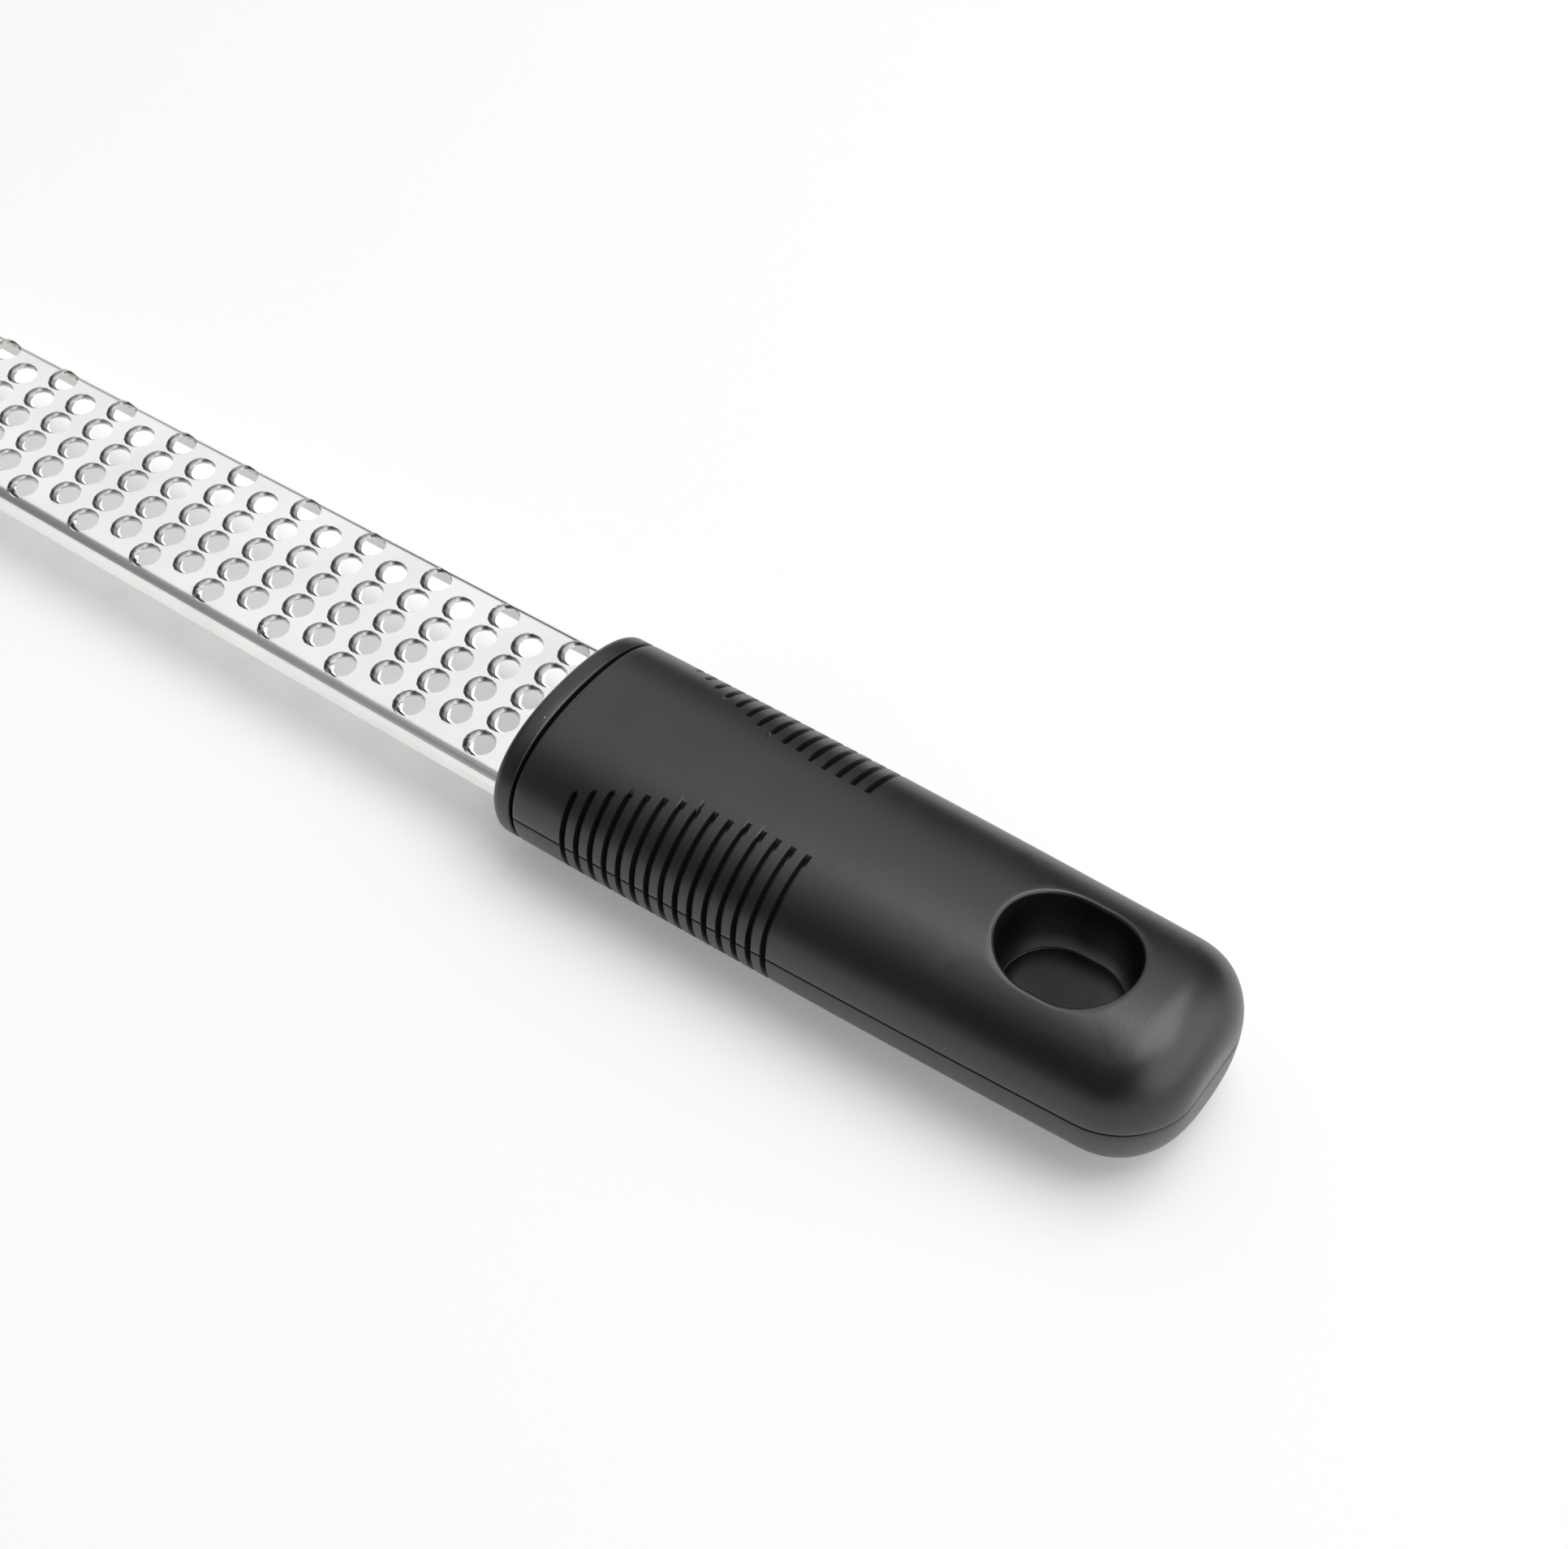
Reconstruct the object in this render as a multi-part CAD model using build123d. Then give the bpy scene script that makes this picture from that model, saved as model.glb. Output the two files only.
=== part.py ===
from build123d import *

import math
import os

# A rasp zester: a long perforated blade with folded rails, held in a soft two-shell handle.
# X runs along the tool from the blade's tip to the handle's rear end, Y goes across it and
# Z is up. The origin lies under the middle of the whole length, on the surface that the
# handle rests on. All lengths are in millimetres and all angles in degrees.

# Blade strip
BLADE_REACH = 205.0
BLADE_WIDTH_AT_TIP = 28.2
BLADE_WIDTH_AT_HANDLE = 30.8
BLADE_LEVEL = 14.3
SHEET = 0.5
RAIL_DEPTH = 4.2
FOLD_RADIUS = 2.0
TIP_CORNER = 4.0
RAIL_NOSE = 6.0

# Rasp teeth: bores in staggered rows, each cut through a mound raised on its tip side
TOOTH_ROWS = 9
TOOTH_PITCH = 13.8
ROW_STEP = 2.81
TOOTH_BORE = 4.6
MOUND_WIDTH = 5.2
MOUND_HEIGHT = 1.1
MOUND_SLOPE = 45.0
MOUND_OFFSET = 1.5
LAST_TOOTH_SETBACK = 0.6
TIP_MARGIN = 9.0

# Tang and the pins that hold it
TANG_WIDTH = 19.0
TANG_LENGTH = 58.0
TANG_CORNER = 3.0
PIN_DIAMETER = 5.0
PIN_LENGTH = 13.0
FIRST_PIN_REACH = 16.0
PIN_SPACING = 28.0

# Handle form
HANDLE_LENGTH = 110.5
WIDTH_AT_FRONT = 37.0
WIDTH_AT_MIDDLE = 36.4
WIDTH_AT_REAR = 33.4
CROWN_AT_FRONT = 10.1
CROWN_AT_REAR = 10.7
SEAM_DROP_AT_FRONT = 2.2
SEAM_DROP_AT_REAR = 0.9
BELLY_CUT = 0.35
REAR_PLAN_RADIUS = 11.5
REAR_TOP_RADIUS = 8.5
REAR_BELLY_RADIUS = 9.5
REAR_START_ANGLE = 9.0
REAR_END_ANGLE = 80.0
UPPER_FULLNESS_SHARE = 0.64
LOWER_FULLNESS_SHARE = 0.665

# Hard core inside the grip shells
CORE_WIDTH = 25.0
CORE_FLOOR_LEVEL = 3.0
CORE_TOP_LEVEL = 21.6
CORE_LENGTH = 64.0
CORE_ROUND = 5.0

# Collar, and the fits between it, the shells, the core and the tang
COLLAR_LENGTH = 3.6
COLLAR_ROUND = 1.6
JOINT_GAP = 0.6
NECK_LENGTH = 4.0
RAIL_SEAT = 3.0
SHELL_CLEARANCE = 0.15
SLOT_CLEARANCE = 0.12
PIN_CLEARANCE = 0.05

# Grip grooves
GROOVE_COUNT = 15
GROOVE_PITCH = 2.535
GROOVE_WIDTH = 1.05
GROOVE_DEPTH = 1.1
FIRST_GROOVE_SETBACK = 13.6
FIRST_GROOVE_END = 14.4
LAST_GROOVE_END = 7.4
GROOVE_SWEEP_POWER = 2.4

# Hanging hole
HOLE_LENGTH = 20.8
HOLE_WIDTH = 17.8
HOLE_REAR_MARGIN = 13.4
HOLE_DRAFT = 6.5

# How far a cutting tool runs past what it cuts
OVERRUN = 2.0

# Places along the tool that follow from the sizes above
OVERALL_LENGTH = BLADE_REACH + HANDLE_LENGTH
TIP_X = -OVERALL_LENGTH / 2
HANDLE_FRONT = TIP_X + BLADE_REACH
HANDLE_REAR = HANDLE_FRONT + HANDLE_LENGTH
STRIP_END = HANDLE_FRONT + RAIL_SEAT
TANG_END = STRIP_END + TANG_LENGTH
RING_BACK = HANDLE_FRONT + COLLAR_LENGTH
SHELL_FRONT = RING_BACK + JOINT_GAP
CORE_FRONT = SHELL_FRONT + NECK_LENGTH
CORE_END = CORE_FRONT + CORE_LENGTH
CORE_SPLIT_LEVEL = BLADE_LEVEL - (SEAM_DROP_AT_FRONT + SEAM_DROP_AT_REAR) / 2
TANG_BED_LEVEL = BLADE_LEVEL - SHEET
HOLE_CENTRE = HANDLE_REAR - HOLE_REAR_MARGIN - HOLE_LENGTH / 2
HANDLE_HEIGHT = BLADE_LEVEL + max(CROWN_AT_FRONT, CROWN_AT_REAR)
HANDLE_WIDTH = max(WIDTH_AT_FRONT, WIDTH_AT_MIDDLE, WIDTH_AT_REAR)

UPPER = 1
LOWER = -1

# Shares of the handle's long body, and of the angle round its rear end, at which the
# handle's section is drawn
BODY_STATION_SHARES = (0.0, 0.25, 0.5, 0.75, 1.0)
REAR_STATION_SHARES = (0.0, 0.25, 0.5, 0.75, 1.0)
# Steps of the collar's rounded front edge
ROUND_STEPS = 4
# Sides of the many-sided bore and mound of each tooth
TOOTH_SIDES = 8


def block(low, high):
    """A plain box between two corners."""
    size = [b - a for a, b in zip(low, high)]
    centre = [(a + b) / 2 for a, b in zip(low, high)]
    return Pos(*centre) * Box(*size)


def share_along_handle(x):
    """0 at the front of the handle, 1 at its rear end."""
    return (x - HANDLE_FRONT) / HANDLE_LENGTH


def handle_half_width(x):
    """Half the handle's width at x: one smooth curve through its three given widths."""
    s = share_along_handle(x)
    front = WIDTH_AT_FRONT * (1 - s) * (1 - 2 * s)
    middle = WIDTH_AT_MIDDLE * 4 * s * (1 - s)
    rear = WIDTH_AT_REAR * s * (2 * s - 1)
    return (front + middle + rear) / 2


def seam_level(x):
    """Height of the seam between the two shells at x, rising towards the rear."""
    s = share_along_handle(x)
    return BLADE_LEVEL - SEAM_DROP_AT_FRONT * (1 - s) - SEAM_DROP_AT_REAR * s


def handle_top(x):
    """Height of the handle's top at x, ahead of its rounded rear end."""
    s = share_along_handle(x)
    return BLADE_LEVEL + CROWN_AT_FRONT * (1 - s) + CROWN_AT_REAR * s


def round_end_cut(x, end, radius):
    """How far a rounded end, as an arc of the given radius, has drawn in at x."""
    run = max(x - (end - radius), 0)
    return radius - math.sqrt(max(radius**2 - run**2, 0))


def half_section(x, inset, side):
    """Face across the handle at x, above or below the seam, drawn in by the inset."""
    end = HANDLE_REAR - inset
    width = handle_half_width(x) - inset
    width -= round_end_cut(x, end, REAR_PLAN_RADIUS - inset)
    seam = seam_level(x)
    if side == UPPER:
        height = handle_top(x) - seam - inset
        height -= round_end_cut(x, end, REAR_TOP_RADIUS - inset)
        fullness = UPPER_FULLNESS_SHARE
    else:
        height = seam + BELLY_CUT - inset
        height -= round_end_cut(x, end, REAR_BELLY_RADIUS - inset)
        fullness = LOWER_FULLNESS_SHARE
    peak = seam + side * height
    shoulder = seam + side * height * fullness
    near = [(x, width, seam), (x, width, shoulder), (x, width * fullness, peak)]
    far = [(x, -y, z) for x, y, z in reversed(near)]
    over = [Bezier(*near, (x, 0, peak)), Bezier((x, 0, peak), *far)]
    return make_face(over + [Line(far[-1], near[0])])


def rear_stations(inset):
    """Places round the handle's rear end, by even steps of its angle in plan."""
    radius = REAR_PLAN_RADIUS - inset
    turn = REAR_END_ANGLE - REAR_START_ANGLE
    angles = [REAR_START_ANGLE + turn * share for share in REAR_STATION_SHARES]
    return [HANDLE_REAR - inset - radius * (1 - math.sin(math.radians(a))) for a in angles]


def body_stations(start, stop):
    """Places along the handle's long body, from start to where its rear end begins."""
    return [start + (stop - start) * share for share in BODY_STATION_SHARES]


def handle_half(start, inset, side):
    """The handle's form above or below the seam, from start to its rounded rear end."""
    rear_places = rear_stations(inset)
    body_places = body_stations(start, rear_places[0])
    body = loft([half_section(x, inset, side) for x in body_places], ruled=True)
    return body + loft([half_section(x, inset, side) for x in rear_places], ruled=True)


def floor_cut(solid):
    """Cuts the underside flat on the surface that the handle rests on."""
    low = (TIP_X, -HANDLE_WIDTH, -HANDLE_HEIGHT)
    return solid - block(low, (HANDLE_REAR + OVERRUN, HANDLE_WIDTH, 0))


def hole_bar():
    """A bar with the hanging hole's outline, narrowing downwards through the whole handle."""
    outlines = []
    for level in (HANDLE_HEIGHT + OVERRUN, -OVERRUN):
        narrowing = 2 * (HANDLE_HEIGHT - level) * math.tan(math.radians(HOLE_DRAFT))
        outline = SlotOverall(HOLE_LENGTH - narrowing, HOLE_WIDTH - narrowing)
        outlines.append(Pos(HOLE_CENTRE, 0, level) * outline)
    return loft(outlines, ruled=True)


def groove_end(index):
    """How far from the middle of the handle a grip groove ends."""
    share = index / (GROOVE_COUNT - 1)
    sweep = 1 - (1 - share) ** GROOVE_SWEEP_POWER
    return FIRST_GROOVE_END + (LAST_GROOVE_END - FIRST_GROOVE_END) * sweep


def groove_cutters(side):
    """Bars that cut the grip grooves of one shell, on both sides of the handle."""
    slabs = []
    for index in range(GROOVE_COUNT):
        x = HANDLE_FRONT + FIRST_GROOVE_SETBACK + GROOVE_PITCH * index
        for hand in (1, -1):
            inner = hand * groove_end(index)
            outer = hand * HANDLE_WIDTH
            low = (x - GROOVE_WIDTH / 2, min(inner, outer), -OVERRUN)
            high = (x + GROOVE_WIDTH / 2, max(inner, outer), HANDLE_HEIGHT)
            slabs.append(block(low, high))
    kept_inside = handle_half(SHELL_FRONT, GROOVE_DEPTH, side)
    return [slab - kept_inside for slab in slabs]


def core_bar(start, stop, growth):
    """The core's rounded bar between two places along the tool, grown all round."""
    reach = CORE_WIDTH / 2 + growth
    low = (start, -reach, CORE_FLOOR_LEVEL - growth)
    bar = block(low, (stop, reach, CORE_TOP_LEVEL + growth))
    return fillet(bar.edges().filter_by(Axis.X), CORE_ROUND + growth)


def grip_shell(side):
    """One soft shell, pocketed for the core, with its share of the hanging hole and grooves."""
    shell = floor_cut(handle_half(SHELL_FRONT, 0, side) - hole_bar())
    pocket = core_bar(SHELL_FRONT - OVERRUN, CORE_END + SHELL_CLEARANCE, SHELL_CLEARANCE)
    return shell - pocket - groove_cutters(side)


def collar_ring():
    """The collar's ring, whose front edge rounds over in a quarter circle."""
    halves = []
    for side in (UPPER, LOWER):
        sections = []
        for step in range(ROUND_STEPS + 1):
            angle = math.radians(90 * step / ROUND_STEPS)
            x = HANDLE_FRONT + COLLAR_ROUND * (1 - math.cos(angle))
            inset = COLLAR_ROUND * (1 - math.sin(angle))
            sections.append(half_section(x, inset, side))
        sections.append(half_section(RING_BACK, 0, side))
        halves.append(loft(sections, ruled=True))
    return halves[0] + halves[1]


def front_collar():
    """Ring at the mouth of the handle, with a neck that plugs into the grip shells."""
    ring = floor_cut(collar_ring())
    neck = core_bar(RING_BACK, CORE_FRONT, 0)
    rail_pocket = strip_block(-SLOT_CLEARANCE, HANDLE_FRONT - OVERRUN, STRIP_END + SLOT_CLEARANCE)
    rail_pocket -= strip_block(SHEET + SLOT_CLEARANCE, HANDLE_FRONT - OVERRUN, STRIP_END)
    return ring + neck - rail_pocket - tang_plate(SLOT_CLEARANCE)


def core_half(side):
    """One half of the hard core, bored for the pins and fitted round the tang."""
    reach = side * HANDLE_HEIGHT
    low = (TIP_X, -HANDLE_WIDTH, CORE_SPLIT_LEVEL + min(reach, 0))
    high = (HANDLE_REAR, HANDLE_WIDTH, CORE_SPLIT_LEVEL + max(reach, 0))
    half = core_bar(CORE_FRONT, CORE_END, 0) & block(low, high)
    if side == UPPER:
        half -= tang_bed(SLOT_CLEARANCE) + tang_plate(SLOT_CLEARANCE)
    else:
        half += tang_bed(0)
    return half - pins(PIN_CLEARANCE)


def tang_bed(clearance):
    """The raised bed that carries the tang on the lower half of the core."""
    reach = TANG_WIDTH / 2 + clearance
    start = CORE_FRONT - clearance
    return block((start, -reach, CORE_SPLIT_LEVEL), (TANG_END + clearance, reach, TANG_BED_LEVEL))


def blade_half_width(x):
    """Half the blade's width over its rails at x."""
    share = (x - TIP_X) / (STRIP_END - TIP_X)
    width = BLADE_WIDTH_AT_TIP + (BLADE_WIDTH_AT_HANDLE - BLADE_WIDTH_AT_TIP) * share
    return width / 2


def strip_block(inset, start, stop):
    """A solid bar with the folded strip's outside form, drawn in by the inset."""
    outline = [
        (start, blade_half_width(start) - inset),
        (stop, blade_half_width(stop) - inset),
        (stop, inset - blade_half_width(stop)),
        (start, inset - blade_half_width(start)),
    ]
    bar = extrude(make_face(Polyline(*outline, close=True)), RAIL_DEPTH + abs(inset))
    top = BLADE_LEVEL - inset
    bar = Pos(0, 0, top - RAIL_DEPTH - abs(inset)) * bar
    long_edges = bar.faces().sort_by(Axis.Z)[-1].edges().sort_by(Axis.Y)
    return fillet([long_edges[0], long_edges[-1]], FOLD_RADIUS - inset)


def tang_plate(clearance):
    """The flat tongue behind the strip, with room round it where a clearance is given."""
    reach = TANG_WIDTH / 2 + clearance
    low = (STRIP_END - SHEET, -reach, TANG_BED_LEVEL - clearance)
    plate = block(low, (TANG_END + clearance, reach, BLADE_LEVEL + clearance))
    rear_edges = plate.edges().filter_by(Axis.Z).sort_by(Axis.X)[-2:]
    return fillet(rear_edges, TANG_CORNER)


def tooth_places():
    """Where each tooth's bore stands: staggered rows, from the handle towards the tip."""
    places = []
    for row in range(TOOTH_ROWS):
        y = ROW_STEP * (row - (TOOTH_ROWS - 1) / 2)
        stagger = TOOTH_PITCH / 2 if row % 2 == 0 else 0
        x = HANDLE_FRONT - LAST_TOOTH_SETBACK - stagger
        while x > TIP_X + TIP_MARGIN:
            places.append((x, y))
            x -= TOOTH_PITCH
    return places


def tooth_mound():
    """The raised mound of one tooth on its upright root, with the bore's centre as origin."""
    outline = RegularPolygon(MOUND_WIDTH / 2, TOOTH_SIDES)
    mound = extrude(outline, MOUND_HEIGHT, taper=MOUND_SLOPE)
    mound += extrude(outline, -FOLD_RADIUS)
    return Pos(-MOUND_OFFSET, 0, 0) * mound


def tooth_bore():
    """The bore of one tooth, from above its mound to below the sheet."""
    height = MOUND_HEIGHT + SHEET + 2 * OVERRUN
    bore = extrude(RegularPolygon(TOOTH_BORE / 2, TOOTH_SIDES), height)
    return Pos(0, 0, -SHEET - OVERRUN) * bore


def grater_blade():
    """The perforated strip with its rails, teeth and tang."""
    places = tooth_places()
    strip = strip_block(0, TIP_X, STRIP_END)
    strip += [Pos(x, y, BLADE_LEVEL) * tooth_mound() for x, y in places]
    strip -= strip_block(SHEET, TIP_X - OVERRUN, STRIP_END + OVERRUN)
    nose = Polyline(
        (TIP_X - OVERRUN, 0, BLADE_LEVEL - RAIL_DEPTH - OVERRUN),
        (TIP_X + RAIL_NOSE, 0, BLADE_LEVEL - RAIL_DEPTH - OVERRUN),
        (TIP_X + RAIL_NOSE, 0, BLADE_LEVEL - RAIL_DEPTH),
        (TIP_X, 0, BLADE_LEVEL - FOLD_RADIUS),
        (TIP_X - OVERRUN, 0, BLADE_LEVEL - FOLD_RADIUS),
        close=True,
    )
    strip -= extrude(make_face(nose), BLADE_WIDTH_AT_HANDLE, both=True)
    strip &= tip_outline_bar()
    strip -= [Pos(x, y, BLADE_LEVEL) * tooth_bore() for x, y in places]
    return strip + (tang_plate(0) - pins(PIN_CLEARANCE))


def tip_outline_bar():
    """A tall bar with the blade's plan outline, rounded at the tip's two corners."""
    reach = blade_half_width(STRIP_END) + OVERRUN
    bar = block((TIP_X, -reach, 0), (STRIP_END, reach, HANDLE_HEIGHT))
    width = blade_half_width(TIP_X)
    for hand in (1, -1):
        corner = block(
            (TIP_X - OVERRUN, min(hand * (width - TIP_CORNER), hand * (reach + OVERRUN)), 0),
            (TIP_X + TIP_CORNER, max(hand * (width - TIP_CORNER), hand * (reach + OVERRUN)), HANDLE_HEIGHT),
        )
        round_bar = Pos(TIP_X + TIP_CORNER, hand * (width - TIP_CORNER), HANDLE_HEIGHT / 2)
        bar -= corner - round_bar * Cylinder(TIP_CORNER, HANDLE_HEIGHT)
    return bar


def pins(growth):
    """Both pins through the core and the tang, grown for their bores where asked."""
    solids = []
    length = PIN_LENGTH + 2 * growth
    for index in range(2):
        x = STRIP_END + FIRST_PIN_REACH + PIN_SPACING * index
        pin = Cylinder(PIN_DIAMETER / 2 + growth, length)
        solids.append(Pos(x, 0, BLADE_LEVEL - SHEET / 2) * pin)
    return solids


def build():
    """All sub-parts by node name."""
    return {
        "grater_blade": grater_blade(),
        "front_collar": front_collar(),
        "grip_upper": grip_shell(UPPER),
        "grip_lower": grip_shell(LOWER),
        "core_upper": core_half(UPPER),
        "core_lower": core_half(LOWER),
        "tang_pins": Compound(children=pins(0)),
    }


os.makedirs("parts", exist_ok=True)
for name, shape in build().items():
    export_step(shape, f"parts/{name}.step")
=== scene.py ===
"""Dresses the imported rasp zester: a folded, toothed steel blade in a soft two-shell handle.

Meshes are made in millimetres in the CAD frame (X from the blade's tip to the handle's rear
end, Z up) and are turned into metres when they become pieces.
"""

import logging
import math
from dataclasses import dataclass, field
from enum import Enum
from typing import Callable, Iterable, Sequence

import bmesh
import bpy
import numpy as np
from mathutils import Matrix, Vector

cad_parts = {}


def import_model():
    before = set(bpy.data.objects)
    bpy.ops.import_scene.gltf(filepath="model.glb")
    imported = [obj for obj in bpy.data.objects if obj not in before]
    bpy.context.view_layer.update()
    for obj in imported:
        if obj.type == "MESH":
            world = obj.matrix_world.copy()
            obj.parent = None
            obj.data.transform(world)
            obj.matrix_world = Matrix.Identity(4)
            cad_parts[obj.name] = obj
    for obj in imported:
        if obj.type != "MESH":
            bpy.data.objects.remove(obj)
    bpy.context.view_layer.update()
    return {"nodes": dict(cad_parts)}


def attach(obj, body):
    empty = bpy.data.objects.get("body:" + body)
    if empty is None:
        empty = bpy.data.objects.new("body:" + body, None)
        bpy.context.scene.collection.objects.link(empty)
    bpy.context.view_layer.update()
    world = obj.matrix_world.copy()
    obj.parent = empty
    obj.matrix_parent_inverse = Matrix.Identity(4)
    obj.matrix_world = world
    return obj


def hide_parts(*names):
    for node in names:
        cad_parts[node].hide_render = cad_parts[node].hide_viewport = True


MM = 0.001
LOG = logging.getLogger("rasp_zester")

HOLE_PAINTED_SHADE = "hole_painted_shade"  # painted shade down the wall of the hanging hole, up to 1 there and 0 elsewhere, on the shells' points
PAINTED_SHADE = "tooth_painted_shade"  # how much painted shade darkens a tooth's side, standing in for its dark reflection, from 0 to 1, on the blade's face corners
INWARD = "inward"  # the way into a shell from its skin, on the points that the grooves press
GRAIN_RANGE = (0.3, 0.7)  # the values that a noise mostly has
MOULDED_LIMIT = 50.0  # the angle in degrees from which an edge of a moulded piece is crisp
WELD = 1e-4  # corners of a closed piece that lie nearer than this are one

Point = tuple[float, float, float]


class Half(Enum):
    """Which half of the handle, above or below the seam."""

    UPPER = 1
    LOWER = -1


@dataclass(frozen=True)
class Layout:
    """Places along the tool that several sub-assemblies share."""

    tip: float = -157.75
    handle_front: float = 47.25
    strip_end: float = 49.35
    taper_end: float = 50.25
    ring_back: float = 50.85
    shell_front: float = 51.45
    core_front: float = 55.45
    core_end: float = 119.45
    handle_rear: float = 157.57
    blade_level: float = 14.3


@dataclass(frozen=True)
class BarSection:
    """Section of a bar along the tool: half its width, its levels and the radius of its edges."""

    half_width: float
    low: float
    high: float
    radius: float


LAYOUT = Layout()
CORE_SECTION = BarSection(12.5, 3.0, 21.6, 5.0)
POCKET_SECTION = BarSection(12.65, 2.85, 21.75, 5.15)


def quarter_turn(steps: int, first: float = 0.0) -> np.ndarray:
    """Returns the angles, in radians, of a quarter turn in equal steps from a first angle in degrees."""
    return np.radians(first + np.linspace(0, 90, steps + 1))


def rolled_edge(start: float, hand: int, size: float, turns: np.ndarray) -> list[tuple[float, float]]:
    """Works out the sections of a part's rounded end.

    Args:
        start: Where the part starts or ends along the tool.
        hand: 1 at its front end and -1 at its rear end.
        size: Radius of the rounding.
        turns: How far round each section is.

    Returns:
        The sections' places and how far each is drawn in.
    """
    return [(start + hand * size * (1 - math.cos(a)), size * (1 - math.sin(a))) for a in turns]


def mesh_from(
    name: str, points: Iterable[Sequence[float]], faces: Iterable[Sequence[int]]
) -> bpy.types.Mesh:
    """Makes a mesh from points and faces.

    Args:
        name: Name of the new mesh.
        points: Corner positions.
        faces: Corner indices of each face.

    Returns:
        The new mesh.
    """
    mesh = bpy.data.meshes.new(name)
    mesh.from_pydata([tuple(p) for p in points], [], [tuple(f) for f in faces])
    mesh.update()
    return mesh


def object_from(name: str, mesh: bpy.types.Mesh) -> bpy.types.Object:
    """Links a new object to the scene.

    Args:
        name: Its name.
        mesh: The mesh that it holds.

    Returns:
        The new object.
    """
    thing = bpy.data.objects.new(name, mesh)
    bpy.context.scene.collection.objects.link(thing)
    return thing


def stacked_faces(rings: int, count: int, capped: bool) -> list[tuple[int, ...]]:
    """Joins a stack of closed rings, whose points follow each other ring by ring.

    Args:
        rings: How many rings there are.
        count: Points in each ring.
        capped: Whether a face closes the first ring and another one the last.

    Returns:
        Corner indices of each face.
    """
    faces: list[tuple[int, ...]] = []
    for start in range(0, (rings - 1) * count, count):
        for k in range(count):
            after = (k + 1) % count
            faces.append((start + k, start + after, start + count + after, start + count + k))
    if capped:
        last = (rings - 1) * count
        faces += [tuple(reversed(range(count))), tuple(range(last, last + count))]
    return faces


def closed_stack(name: str, rings: Sequence[Sequence[Point]]) -> bpy.types.Object:
    """Makes a closed object from a stack of rings.

    Args:
        name: Name of the object.
        rings: Its rings of points, in millimetres.

    Returns:
        The new object, with its faces turned outwards.
    """
    points = [point for ring in rings for point in ring]
    thing = object_from(name, mesh_from(name, points, stacked_faces(len(rings), len(rings[0]), True)))
    face_outwards(thing.data)
    return thing


def rounded_bar(name: str, start: float, stop: float, section: BarSection) -> bpy.types.Object:
    """Makes a closed bar along the tool with rounded long edges.

    Args:
        name: Name of the object.
        start: Where it starts along the tool.
        stop: Where it ends.
        section: Its section.

    Returns:
        The new object, in millimetres.
    """
    corner_steps = 6
    low, high, radius = section.low, section.high, section.radius
    outline = []
    for hand, level, first in ((1, high, 0), (-1, high, 90), (-1, low, 180), (1, low, 270)):
        centre_y = hand * (section.half_width - radius)
        centre_z = level - radius if level == high else level + radius
        for turn in quarter_turn(corner_steps, first):
            outline.append((centre_y + radius * math.cos(turn), centre_z + radius * math.sin(turn)))
    return closed_stack(name, [[(x, y, z) for y, z in outline] for x in (start, stop)])


def turn_outwards(shape: bmesh.types.BMesh) -> None:
    """Turns the faces of a closed shape outwards, by the sign of its volume.

    Args:
        shape: The shape.
    """
    bmesh.ops.recalc_face_normals(shape, faces=shape.faces)
    if shape.calc_volume(signed=True) < 0:
        bmesh.ops.reverse_faces(shape, faces=shape.faces)


def face_outwards(mesh: bpy.types.Mesh) -> None:
    """Merges doubled corners of a closed mesh and turns its faces outwards.

    Args:
        mesh: The mesh.
    """
    shape = bmesh.new()
    shape.from_mesh(mesh)
    bmesh.ops.remove_doubles(shape, verts=shape.verts, dist=WELD)
    turn_outwards(shape)
    shape.to_mesh(mesh)
    shape.free()


def shade_smooth(shape: bmesh.types.BMesh, limit: float) -> None:
    """Shades a shape smooth, with crisp edges at its rims and corners.

    Args:
        shape: The shape.
        limit: The angle in degrees from which an edge is crisp.
    """
    for face in shape.faces:
        face.smooth = True
    for edge in shape.edges:
        edge.smooth = edge.is_manifold and edge.calc_face_angle(0.0) < math.radians(limit)


def shade_moulded(mesh: bpy.types.Mesh) -> None:
    """Shades a moulded piece smooth, with crisp corners.

    Args:
        mesh: The piece's mesh.
    """
    shape = bmesh.new()
    shape.from_mesh(mesh)
    shade_smooth(shape, MOULDED_LIMIT)
    shape.to_mesh(mesh)
    shape.free()


def write_attribute(mesh: bpy.types.Mesh, name: str, domain: str, values: np.ndarray) -> None:
    """Stores one number for each point or face corner of a mesh."""
    layer = mesh.attributes.new(name, "FLOAT", domain)
    layer.data.foreach_set("value", values)


def settle(thing: bpy.types.Object) -> None:
    """Replaces an object's mesh by a plain one with its modifiers worked in.

    Args:
        thing: The object, which keeps no modifiers.
    """
    bpy.context.view_layer.update()
    graph = bpy.context.evaluated_depsgraph_get()
    mesh = bpy.data.meshes.new_from_object(thing.evaluated_get(graph))
    old = thing.data
    thing.modifiers.clear()
    thing.data = mesh
    bpy.data.meshes.remove(old)


def drop(thing: bpy.types.Object) -> None:
    """Deletes a helper object with its mesh.

    Args:
        thing: The object.
    """
    mesh = thing.data
    bpy.data.objects.remove(thing)
    bpy.data.meshes.remove(mesh)


def cut_away(thing: bpy.types.Object, cutter: bpy.types.Object) -> None:
    """Cuts a closed cutter out of a closed object.

    Args:
        thing: The object that is cut.
        cutter: The cutter, which is deleted afterwards.
    """
    tool = thing.modifiers.new("cut", "BOOLEAN")
    tool.operation = "DIFFERENCE"
    tool.solver = "EXACT"
    tool.object = cutter
    settle(thing)
    drop(cutter)


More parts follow.
